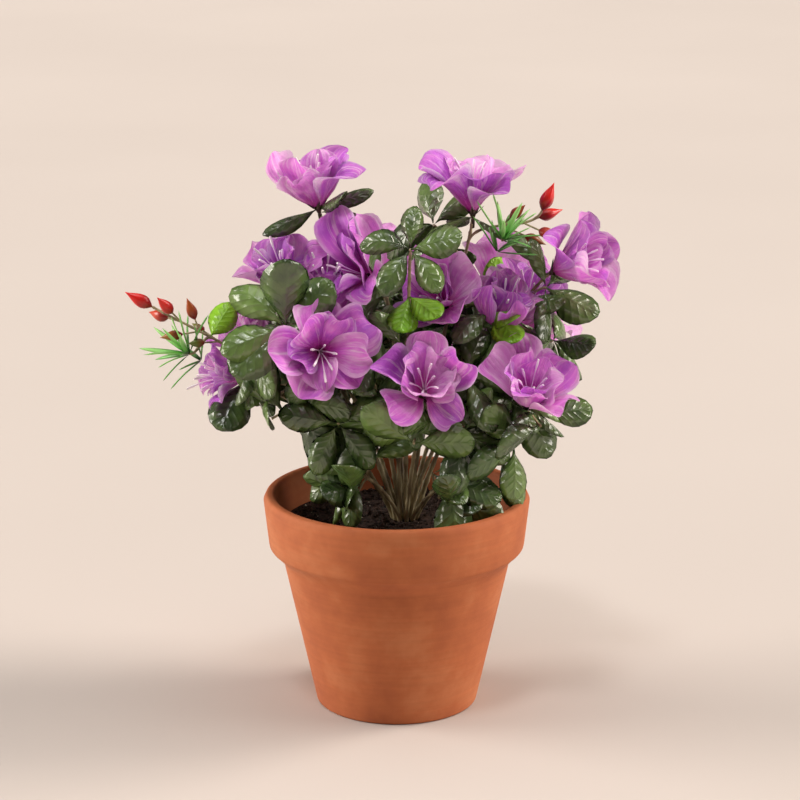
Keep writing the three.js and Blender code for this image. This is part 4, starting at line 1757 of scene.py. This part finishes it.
@dataclass
class Stems:
    """The stems and twigs: wire in a moulded sleeve, with swollen joints, in millimetres."""

    bush: Bush
    foot: float = 1.35
    tip: float = 0.8
    twig: float = 0.75
    bud_stalk: float = 0.55
    joint: float = 9.0  # from one joint to the next
    first_joint: float = 3.0
    joint_length: float = 0.9
    joint_swell: float = 0.3
    step: float = 1.2  # from one ring of the mesh to the next
    bark: float = 2.2
    bark_relief: float = 0.45

    def build(self) -> None:
        """Builds the stems and the twigs."""
        sleeve = StemSleeve("moulded stem sleeve", roughness=0.5).make()
        bark = bpy.data.textures.new("bark", "CLOUDS")
        bark.noise_scale = self.bark * MM
        names = [spray.name for spray in self.bush.sprays]
        solids = [f"stem_{name}" for name in names] + [f"spray_{name}" for name in names]
        lines = [self._rod(spray.line, self.foot, self.tip) for spray in self.bush.sprays]
        stems = rods("stems", lines, 10)
        apply_modifier(
            stems, "DISPLACE", texture=bark, strength=self.bark_relief * MM, mid_level=0.5
        )
        twigs = rods("twigs", self._twigs(), 6)
        finish_piece(stems, [sleeve], solids)
        finish_piece(twigs, [sleeve], solids[len(names):])

    def _rod(self, line: Line, first: float, last: float) -> tuple[np.ndarray, np.ndarray]:
        """Draws a limb with its joints.

        Args:
            line: its curve.
            first: its radius at the root.
            last: its radius at the tip.

        Returns:
            Its points and radii.
        """
        rough = line.points(0, 1, 12)
        length = float(np.sum(np.linalg.norm(np.diff(rough, axis=0), axis=1)))
        count = max(6, int(length / self.step))
        along = np.linspace(0, length, count)
        off = (along + self.first_joint) % self.joint - self.joint / 2
        swell = 1 + self.joint_swell * np.exp(-(off / self.joint_length) ** 2)
        return line.points(0, 1, count), np.linspace(first, last, count) * swell

    def _twigs(self) -> Iterable[tuple[np.ndarray, np.ndarray]]:
        """Draws all the twigs and the stalks of the buds.

        Returns:
            The points and radii of each, one after another.
        """
        for spray in self.bush.sprays:
            for shoot in spray.shoots:
                if shoot.kept and shoot.line is not spray.line:
                    yield self._rod(shoot.line, self.twig * 1.1, self.twig)
                for bud in shoot.buds:
                    reach = bud.run * (bud.stalk + 1.5)
                    points = bud.root + np.outer(np.linspace(0, 1, 4), reach)
                    yield points, np.full(4, self.bud_stalk)


class Tone(Enum):
    """The tones that leaves come in."""

    DEEP = "deep"
    MIDDLE = "middle"
    FRESH = "fresh"


@dataclass
class Foliage:
    """All the leaves, dealt out to a few tones by rosette."""

    bush: Bush
    growth: float = 1.2  # a leaf's length against its rule
    fullness: Range = (0.8, 1.0)  # its width against its rule
    roll: float = 20.0  # degrees over which it turns on its rib
    dome: Range = (-0.2, -0.05)
    wave: Range = (0.0, 0.02)
    middle_share: float = 0.4  # of the rosettes
    small: tuple[str, ...] = ("upper_front",)  # sprays whose leaves stay smaller
    small_growth: float = 0.84
    bract_growth: float = 1.3
    bract_fullness: float = 1.25
    bract_roll: float = 70.0
    single_width: float = 0.66  # against its length
    single_bend: float = 15.0
    single_face: Spot = (0.1, -0.75, 0.66)
    fresh: tuple[tuple[float, ...], ...] = (  # single young leaves: their tip's place, their length
        (2, -48, 243, 28), (24, -46, 252, 27), (70, -40, 236, 27), (68, -40, 250, 25),
        (-97, -6, 250, 26), (60, 52, 262, 27), (-30, 88, 240, 27),
    )
    grown: tuple[tuple[float, ...], ...] = (  # the same of single grown leaves
        (-104, -24, 178, 36), (116, -20, 190, 34), (91, -38, 163, 34), (116, -10, 226, 30),
        (120, -8, 244, 28), (97, -14, 252, 27), (36, -48, 300, 30), (-42, -54, 148, 30),
        (48, -52, 138, 30), (62, -46, 142, 32),
    )
    joined: tuple[tuple[str, tuple[Spot, ...]], ...] = (
        # the tips of leaves that fill the first rosette of a spray
        ("front_left", ((-62, -58, 284), (-38, -46, 271), (-95, -60, 221))),
    )
    slender: tuple[tuple[float, ...], ...] = (  # and of bracts under a bloom
        (-79, 0, 290, 34), (-15, 0, 316, 30), (-33, -22, 321, 40),
    )
    slender_width: float = 0.3
    limb_places: int = 14  # where on a limb a single leaf may start
    hub_first: float = 3.0  # how much worse the length may fit at a limb's end than along it
    leaf: Sheet = field(
        default_factory=lambda: Sheet(
            ((0, 0.05), (0.1, 0.1), (0.22, 0.42), (0.37, 0.78), (0.52, 0.97), (0.65, 1.0),
             (0.8, 0.88), (0.92, 0.6), (1, 0.15)),
            4, 0.016, groove=0.012,
        )
    )

    def build(self) -> None:
        """Lays a leaf along every kept rib, as one piece for each tone."""
        pattern = self.leaf.model()
        batches = {tone: Batch() for tone in Tone}
        for i, spray in enumerate(self.bush.sprays):
            draw = Draw(700 + i)
            size = self.small_growth if spray.name in self.small else 1.0
            for shoot in spray.shoots:
                if shoot.kept and shoot.kind is not Kind.TUFT:
                    tone = Tone.MIDDLE if draw() < self.middle_share else Tone.DEEP
                    self._lay(pattern, shoot, batches[tone], draw, size)
        self._lay_singles(pattern, self.fresh, batches[Tone.FRESH], self.single_width)
        self._lay_singles(pattern, self.grown, batches[Tone.DEEP], self.single_width)
        self._lay_singles(pattern, self.slender, batches[Tone.DEEP], self.slender_width)
        draw = Draw(802)
        for name, tips in self.joined:
            hub = next(s.rosettes[0][:3] for s in self.bush.sprays if s.name == name)
            for tip in tips:
                self._lay_single(
                    pattern, np.array(hub, float), np.array(tip, float), self.single_width,
                    batches[Tone.DEEP], draw,
                )
        looks = {  # title, roughness, IOR and greens of the face, then title and tones of the back
            Tone.DEEP: ("deep green", 0.26, 1.75, "384c2a", "627c3e", "brown", "3a2c22", "4c4226"),
            Tone.MIDDLE: ("mid green", 0.28, 1.7, "465f30", "708e46", "olive", "474620", "606030"),
            Tone.FRESH: ("young green", 0.3, 1.42, "6fa81e", "94cc36", "young", "6f9a2a", "8fba48"),
        }
        solids = [f"spray_{spray.name}" for spray in self.bush.sprays]
        for tone, batch in batches.items():
            title, rough, ior, deep, fresh, under, low, high = looks[tone]
            face = PressedLeaf(
                f"pressed leaf, {title}", roughness=rough, ior=ior, deep=deep, fresh=fresh
            )
            back = LeafBack(f"leaf back, {under}", roughness=0.5, low=low, high=high)
            obj = batch.build(f"leaves_{tone.value}")
            finish_piece(obj, [face.make(), back.make()], solids)

    def _lay(self, pattern: Pattern, shoot: Shoot, batch: Batch, draw: Draw, size: float) -> None:
        """Lays the leaves or bracts of one shoot.

        Args:
            pattern: the leaf's pattern.
            shoot: the shoot.
            batch: takes the leaves.
            draw: gives the draws.
            size: their length against the usual.
        """
        for tier in shoot.tiers:
            if tier.form.kind is not Kind.LEAF:
                continue
            is_bract = tier.form is BRACT
            growth = size * (self.bract_growth if is_bract else self.growth)
            fullness = self.bract_fullness if is_bract else draw.spread(*self.fullness)
            for blade in tier.blades:
                relief, tint = self._curl(pattern, draw), draw()
                if blade.kept:
                    full = replace(
                        blade,
                        length=blade.length * growth,
                        half_width=blade.half_width * fullness * growth,
                        roll=(self.bract_roll if is_bract else self.roll) * (draw() - 0.5),
                    )
                    batch.add(pattern, pattern.laid(full, relief), tint)

    def _lay_singles(
        self, pattern: Pattern, tips: Sequence[tuple[float, ...]], batch: Batch, width: float
    ) -> None:
        """Lays single leaves, each from the limb that its length fits best.

        Args:
            pattern: the leaf's pattern.
            tips: for each leaf the place of its tip, and its length.
            batch: takes the leaves.
            width: a leaf's width against its length.
        """
        draw = Draw(801)
        count = self.limb_places
        kept = [shoot for spray in self.bush.sprays for shoot in spray.shoots if shoot.kept]
        limbs = np.vstack([shoot.line.points(0.3, 1, count) for shoot in kept])
        along = np.tile([self.hub_first] * (count - 1) + [0.0], len(kept))
        for x, y, z, wanted in tips:
            tip = np.array([x, y, z], float)
            misfit = np.abs(np.linalg.norm(limbs - tip, axis=1) - wanted) + along
            root = limbs[np.argmin(misfit)]
            self._lay_single(pattern, root, tip, width, batch, draw)

    def _lay_single(
        self, pattern: Pattern, root: Point, tip: Point, width: float, batch: Batch, draw: Draw
    ) -> None:
        """Lays one leaf from a root to a tip.

        Args:
            pattern: the leaf's pattern.
            root: where it starts.
            tip: where it ends.
            width: its width against its length.
            batch: takes the leaf.
            draw: gives the draws.
        """
        length = float(np.linalg.norm(tip - root))
        out, face = unit(tip - root), np.array(self.single_face)
        top = unit(face - out * (face @ out))
        blade = Blade(root, out, top, length, width * length / 2, bend=self.single_bend)
        batch.add(pattern, pattern.laid(blade, self._curl(pattern, draw)), draw())

    def _curl(self, pattern: Pattern, draw: Draw) -> np.ndarray:
        """Shapes a leaf's own doming and waviness.

        Args:
            pattern: the leaf's pattern.
            draw: gives the draws.

        Returns:
            The relief at each vertex.
        """
        fan, y = pattern.fan, pattern.verts[:, 1]
        dome = draw.spread(*self.dome) * fan * fan * np.sin(np.pi * np.clip(y, 0, 1))
        depth = draw.spread(*self.wave) * np.abs(fan)
        return dome + depth * np.sin(8 * y + PHASE * draw() + 2 * np.sign(fan))


@dataclass
class Blooms:
    """The double blooms: petals, stamens, cup and sepals, in millimetres and degrees."""

    bush: Bush
    stamen: float = 25.0
    outer_fullness: float = 1.1  # a petal's width against its rule
    inner_fullness: float = 1.16
    inner_growth: float = 0.98
    outer_growth: float = 1.05
    sway: float = 20.0  # degrees over which a petal turns aside
    droop: float = 0.2  # how far a stamen sinks at its end, against its length
    shy: tuple[str, ...] = ("bloom_left_1",)  # blooms that haven't opened fully
    shy_growth: float = 0.78
    bowl_fullness: float = 0.5  # how much wider the petals of an upright bloom are
    roll: float = 7.0  # that a petal turns on its rib
    bowl: float = 36.0  # that a petal opens more at its root
    turn_back: float = 2.05  # what it then bends back, against that
    inner_bowl: float = 0.6  # the inner petals' share of the bowl
    upright: float = 0.6
    cup: tuple[Range, ...] = (  # places along the axis, each with its radius
        (-9.0, 0.9), (-8.6, 1.25), (-3.6, 1.25), (-3.2, 0.95), (-1.2, 1.7), (0.8, 2.3),
        (3.0, 2.5), (5.0, 1.9),
    )
    stamen_radii: tuple[float, ...] = (0.5, 0.46, 0.43, 0.4, 0.38, 0.38, 0.42, 0.85, 0.6)
    petal: Sheet = field(
        default_factory=lambda: Sheet(
            ((0, 0.13), (0.07, 0.18), (0.17, 0.32), (0.3, 0.54), (0.44, 0.74), (0.57, 0.89),
             (0.68, 0.97), (0.78, 1.0), (0.86, 0.96), (0.92, 0.85), (0.965, 0.66), (0.99, 0.42),
             (1, 0.16)),
            8, 0.006,
        )
    )

    def build(self) -> None:
        """Builds a piece for each bloom's petals, then the small parts of all."""
        pattern = self.petal.model()
        cloth = {"sheen": 0.12, "glow_through": 0.4}
        face = PrintedPetal("printed petal", roughness=0.5, **cloth).make()
        # the back carries the painted pleat highlights too, a little weaker
        back = PrintedPetal(
            "printed petal, back", roughness=0.55, **cloth, root="d05cb6", deep="c268ca",
            middle="dc86d6", pale="efb0e6", highlight_strength=0.45,
        ).make()
        counts: dict[str, int] = {}
        for i, (spray, shoot) in enumerate(self.bush.shoots(Kind.BLOOM)):
            counts[spray.name] = counts.get(spray.name, 0) + 1
            name = f"bloom_{spray.name}_{counts[spray.name]}"
            size = self.shy_growth if name in self.shy else 1.0
            batch = self._petals(pattern, shoot, size, Draw(900 + i))
            obj = batch.build(name, crisp=75)
            finish_piece(obj, [face, back], [f"spray_{spray.name}"])
        self._build_small_parts()

    def _petals(self, pattern: Pattern, shoot: Shoot, size: float, draw: Draw) -> Batch:
        """Lays the petals of one bloom.

        Args:
            pattern: the petal's pattern.
            shoot: the bloom's shoot.
            size: its size against the usual.
            draw: gives the draws.

        Returns:
            The petals.
        """
        batch = Batch()
        for tier in shoot.tiers:
            if tier.form.kind is not Kind.PETAL:
                continue
            inner = tier.form is INNER_PETAL
            growth = self.inner_growth if inner else self.outer_growth
            fullness = self.inner_fullness if inner else self.outer_fullness
            fullness *= 1 + self.bowl_fullness * max(0.0, tier.axis[2] - self.upright)
            lean = self._lean(tier)
            for blade in tier.blades:
                out, top = blade.opened(lean)
                aside = math.radians(self.sway * (draw() - 0.5))
                out = out * math.cos(aside) + np.cross(top, out) * math.sin(aside)
                bend = blade.bend - self.turn_back * lean - (4 if inner else -4)
                full = replace(
                    blade,
                    out=out,
                    top=top,
                    length=blade.length * size * growth * draw.spread(0.88, 1.12),
                    half_width=blade.half_width * size * fullness * draw.spread(0.86, 1.1),
                    roll=self.roll + 44 * (draw() - 0.5),
                    bend=bend + 40 * (draw() - 0.5),
                )
                relief, shift = self._ruffle(pattern, draw), self._scallop(pattern, draw)
                tint = draw()
                if blade.kept:
                    batch.add(pattern, pattern.laid(full, relief, shift), tint)
        return batch

    def _lean(self, tier: Whorl) -> float:
        """Finds how far the petals of a whorl open more at their root.

        Args:
            tier: the whorl.

        Returns:
            Degrees, most where a bloom faces up and least where it is flat already.
        """
        share = self.inner_bowl if tier.form is INNER_PETAL else 1.0
        lean = self.bowl * (0.4 + 0.6 * min(1.0, max(0.0, tier.axis[2]))) * share
        root = tier.form.polar * tier.form.spread
        flat = max(blade.bend + root for blade in tier.blades) / 90
        return lean * min(1.0, max(0.2, 2.2 * (1 - flat)))

    @staticmethod
    def _scallop(pattern: Pattern, draw: Draw) -> np.ndarray:
        """Shapes a petal's end, which draws back between its lobes.

        Args:
            pattern: the petal's pattern.
            draw: gives the draws.

        Returns:
            The shift of each vertex along the petal.
        """
        x, y = pattern.verts[:, 0], np.clip(pattern.verts[:, 1], 0, 1)
        lobes = np.sin(draw.spread(2.2, 4.2) * x + PHASE * draw())
        return -draw.spread(0.02, 0.07) * y**5 * (1 + lobes)

    @staticmethod
    def _ruffle(pattern: Pattern, draw: Draw) -> np.ndarray:
        """Shapes a petal's cup, pleats and wavy edge.

        Args:
            pattern: the petal's pattern.
            draw: gives the draws.

        Returns:
            The relief at each vertex.
        """
        fan, x, y = pattern.fan, pattern.verts[:, 0], np.clip(pattern.verts[:, 1], 0, 1)
        cup = draw.spread(0.02, 0.28) * x * x * np.sin(np.pi * y * 0.85)
        depth = draw.spread(0.018, 0.042)
        pleats = depth * y * (1 - y**8) * np.cos(np.pi * 2.4 * fan + PHASE * draw())
        height = draw.spread(0.05, 0.12)
        edge = height * y**3 * np.sin(draw.spread(2.5, 5.5) * x + PHASE * draw())
        lip = draw.spread(-2.0, 1.4) * np.clip(y - 0.66, 0, 1) ** 2
        notch = -draw.spread(0.0, 0.06) * np.exp(-((x / 0.25) ** 2)) * y**6
        twist = draw.spread(-0.13, 0.13) * x * np.abs(x) * y * y
        return cup + pleats + edge + lip + notch + twist

    def _build_small_parts(self) -> None:
        """Builds the stamens, cups and sepals of all the blooms."""
        filaments, cups, sepals = [], [], Batch()
        outline = ((0, 0.9), (0.25, 1.0), (0.5, 0.85), (0.75, 0.55), (1, 0.05))
        pattern = Sheet(outline, 2, 0.06).model()
        along, radii = np.array(self.cup).T
        for i, (_, shoot) in enumerate(self.bush.shoots(Kind.BLOOM)):
            draw = Draw(1200 + i)
            hub, axis = shoot.tiers[0].hub, shoot.tiers[0].axis
            filaments += [self._filament(hub, axis, turn, draw) for turn in range(0, 360, 60)]
            cups.append((hub + np.outer(along, axis), radii))
            tier = whorl(
                hub, axis, SEPAL, shoot.tiers[1].start + 36, draw,
                lambda: {
                    "length": SEPAL.length * draw.spread(0.85, 1.15),
                    "polar": SEPAL.polar,
                    "bend": draw.spread(0, SEPAL.bend),
                },
            )
            for blade in tier.blades:
                sepals.add(pattern, pattern.laid(blade))
        solids = [f"spray_{spray.name}" for spray in self.bush.sprays if spray.blooms]
        white = Tinted("moulded stamen", roughness=0.4, low="ffeef8", high="ffffff").make()
        dark = Tinted("moulded calyx", roughness=0.5, low="33201a", high="4c3a24").make()
        finish_piece(rods("stamens", filaments, 6), [white], solids)
        finish_piece(rods("calyx_cups", cups, 10), [dark], solids)
        finish_piece(sepals.build("sepals"), [dark, dark], solids)

    def _filament(
        self, hub: Point, axis: Point, turn: float, draw: Draw
    ) -> tuple[np.ndarray, np.ndarray]:
        """Draws one stamen, with its anther as a swelling near its end.

        Args:
            hub: the place of the calyx.
            axis: the way that the bloom faces.
            turn: its turn round the axis, in degrees.
            draw: gives the draws.

        Returns:
            Its points and radii.
        """
        away = outward(axis, turn + 30 * draw())
        size = self.stamen * draw.spread(0.8, 1.2)
        lean = draw.spread(0.02, 0.2)
        t = np.linspace(0, 1, len(self.stamen_radii))[:, None]
        points = hub + axis * (5 + t * size) + away * (0.6 + size * (lean * t + 0.2 * t * t))
        points[:, 2:] -= self.droop * size * (1 - abs(axis[2])) * t * t
        return points, np.array(self.stamen_radii)


@dataclass
class Sprigs:
    """The sprigs of buds and the tufts of narrow blades."""

    bush: Bush
    girth: float = 4.0
    growth: float = 1.22  # a bud's length against its rule
    blade_fullness: float = 1.2
    further: tuple[tuple[float, float, float, int, bool], ...] = (
        # rise, polar angle, length, count, and whether they are young
        (0.0, 46, 27, 5, True), (-8.0, 60, 22, 6, False),
    )

    def build(self) -> None:
        """Builds the buds, then the tufts of the lower and the upper whorls."""
        buds = Batch()
        pattern = self._bud()
        for _, shoot in self.bush.shoots(Kind.BUDS):
            for bud in shoot.buds:
                buds.add(pattern, self._placed(pattern, bud), bud.ripe)
        outline = ((0, 0.6), (0.2, 0.95), (0.45, 1.0), (0.7, 0.85), (0.88, 0.5), (1, 0.08))
        blade_pattern = Sheet(outline, 2, 0.04, groove=-0.016).model()
        tufts = {False: Batch(), True: Batch()}
        for _, shoot in self.bush.shoots(Kind.TUFT):
            for tier in shoot.tiers:
                for blade in tier.blades:
                    if blade.kept:
                        wide = replace(blade, half_width=blade.half_width * self.blade_fullness)
                        tufts[tier.form is GRASS_HIGH].add(blade_pattern, blade_pattern.laid(wide))
            for young, blade in self._further_blades(shoot):
                tufts[young].add(blade_pattern, blade_pattern.laid(blade))
        solids = [f"spray_{spray.name}" for spray in self.bush.sprays if spray.sprig]
        red = DyedPlastic(
            "moulded bud", roughness=0.3, start="861a1a", end="de1c18", unripe="64702a"
        ).make()
        finish_piece(buds.build("buds"), [red], solids)
        for young, age, start, end in (
            (False, "low", "3a6c2a", "70b856"), (True, "young", "6cc450", "a6e886"),
        ):
            green = DyedPlastic(f"moulded blade, {age}", roughness=0.35, start=start, end=end)
            finish_piece(tufts[young].build(f"tuft_{age}"), [green.make()] * 2, solids)

    def _further_blades(self, shoot: Shoot) -> Iterable[tuple[bool, Blade]]:
        """Finds the blades that fill a tuft.

        Args:
            shoot: the tuft's shoot.

        Returns:
            Each blade with whether it is a young one, one after another.
        """
        hub, axis = shoot.tiers[0].hub, shoot.tiers[0].axis
        draw = Draw(1500 + int(abs(hub[0])))
        for rise, polar, length, count, young in self.further:
            for i in range(count):
                shape = {
                    "length": length * draw.spread(0.7, 1.15),
                    "polar": polar * draw.spread(0.7, 1.25),
                    "bend": draw.spread(-5, 30),
                    "width": GRASS_LOW.width * self.blade_fullness * 1.15,
                }
                turn = 360 * (i + 0.6 * draw()) / count
                yield young, blade_at(hub + axis * rise, axis, turn, GRASS_LOW, shape)

    @staticmethod
    def _bud() -> Pattern:
        """Models a bud of length 1 and radius 1, with three shallow scales.

        Returns:
            Its mesh as arrays.
        """
        outline = (0.0, 0.5, 0.86, 1.0, 0.98, 0.86, 0.66, 0.42, 0.2, 0.0)
        rings = len(outline) - 1
        deselect()
        bpy.ops.mesh.primitive_cylinder_add(
            vertices=12, radius=1, depth=1, location=(0, 0, 0.5), end_fill_type="NOTHING"
        )
        obj = bpy.context.object
        bpy.ops.object.transform_apply(location=True, rotation=True, scale=True)
        bpy.ops.object.mode_set(mode="EDIT")
        pick(obj, lambda e: abs(e.verts[0].co.z - e.verts[1].co.z) > 0.5, "EDGE")
        bpy.ops.mesh.subdivide(number_cuts=rings - 1)
        for i, share in enumerate(outline):
            pick(obj, lambda v, z=i / rings: abs(v.co.z - z) < 1e-4)
            wide = max(share, 0.02)
            bpy.ops.transform.resize(value=(wide, wide, 1))
        is_seam = lambda v: round(math.degrees(math.atan2(v.co.y, v.co.x))) % 120 == 0
        pick(obj, lambda v: is_seam(v) and 0.1 < v.co.z < 0.9)
        bpy.ops.transform.resize(value=(0.84, 0.84, 1))
        bpy.ops.mesh.select_all(action="SELECT")
        bpy.ops.mesh.remove_doubles(threshold=0.001)
        pick(obj, lambda e: e.is_boundary, "EDGE")
        bpy.ops.mesh.fill_holes(sides=0)
        bpy.ops.mesh.select_all(action="SELECT")
        bpy.ops.mesh.normals_make_consistent(inside=False)
        bpy.ops.object.mode_set(mode="OBJECT")
        pattern = Pattern.take(obj)
        corners = np.concatenate([pattern.verts[list(face)] for face in pattern.faces])
        pattern.uvs = np.c_[np.zeros(len(corners)), corners[:, 2]]
        return pattern

    def _placed(self, pattern: Pattern, bud: Bud) -> np.ndarray:
        """Sets the bud's pattern on its stalk.

        Args:
            pattern: the pattern.
            bud: the bud.

        Returns:
            The places of its vertices in millimetres.
        """
        level, rise = across(bud.run)
        length = self.growth * bud.length
        girth = self.girth * bud.length / BUD_LENGTH
        x, y, z = pattern.verts.T
        foot = bud.root + bud.run * bud.stalk
        stalk = foot + np.outer(z * length, bud.run)
        return stalk + np.outer(x * girth, level) + np.outer(y * girth, rise)


# ---------------------------------------------------------------- the studio


@dataclass
class Studio:
    """A plain pale floor, soft lights and the camera, in metres."""

    floor: float = 40.0
    camera_at: Spot = (0.002, -1.552, 0.611)
    pitch: float = 15.25  # degrees down
    lens: float = 121.5
    sensor: float = 36.0
    glow: float = 0.145
    glow_colour: str = "fff3e8"
    lights: tuple[tuple[str, Spot, float, float, str], ...] = (
        # the way each comes from, the degrees that it fills, its strength and its colour
        ("key", (1.0, 0.28, 0.86), 20, 1.8, "fff3e8"),
        ("top", (0.0, 0.05, 1.0), 50, 1.03, "fff8f2"),
        ("spark", (-0.15, -0.42, 1.0), 10, 0.7, "ffffff"),
        ("left", (-1.0, 0.12, 0.32), 36, 3.2, "fff6ee"),
        ("right", (1.0, -0.05, 0.3), 30, 1.7, "fff6ee"),
    )

    def build(self) -> None:
        """Sets the floor, the lights and the camera."""
        deselect()
        bpy.ops.mesh.primitive_plane_add(size=self.floor)
        floor = bpy.context.object
        floor.name = "floor"
        paint = Tinted("pale floor", roughness=0.8, low="c4bbb4", high="c8bfb8", scale=900)
        floor.data.materials.append(paint.make())
        floor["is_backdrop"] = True
        for name, way_from, angle, strength, colour in self.lights:
            bpy.ops.object.light_add(type="SUN", rotation=self._aim(way_from))
            light = bpy.context.object
            light.name = name
            light.data.energy = strength
            light.data.angle = math.radians(angle)
            light.data.color = linear(colour)[:3]
        world = bpy.data.worlds.new("studio")
        bpy.context.scene.world = world
        world.use_nodes = True
        background = world.node_tree.nodes["Background"]
        background.inputs[0].default_value = linear(self.glow_colour)
        background.inputs[1].default_value = self.glow
        bpy.context.scene.view_settings.view_transform = "Standard"
        turn = (math.radians(90 - self.pitch), 0, 0)
        bpy.ops.object.camera_add(location=self.camera_at, rotation=turn)
        camera = bpy.context.object
        camera.data.lens = self.lens
        camera.data.sensor_width = self.sensor
        bpy.context.scene.camera = camera

    @staticmethod
    def _aim(way_from: Spot) -> Spot:
        """Returns the turns that point a light from a direction at the origin."""
        x, y, z = way_from
        return math.atan2(math.hypot(x, y), z), 0.0, math.atan2(-y, -x) - math.pi / 2


def main() -> None:
    """Builds the object and its studio over the frame."""
    logging.basicConfig(level=logging.INFO, format="%(name)s: %(message)s")
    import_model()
    frame_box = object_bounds()
    Flowerpot().build()
    SoilBed().build()
    bush = Bush()
    for part in (Stems(bush), Foliage(bush), Blooms(bush), Sprigs(bush)):
        part.build()
    Studio().build()
    boxes = {"cad": frame_box, "visual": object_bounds()}
    rows = {key: [list(map(float, corner)) for corner in box] for key, box in boxes.items()}
    log.info("sizes: %s", boxes)


if __name__ == "__main__":
    main()
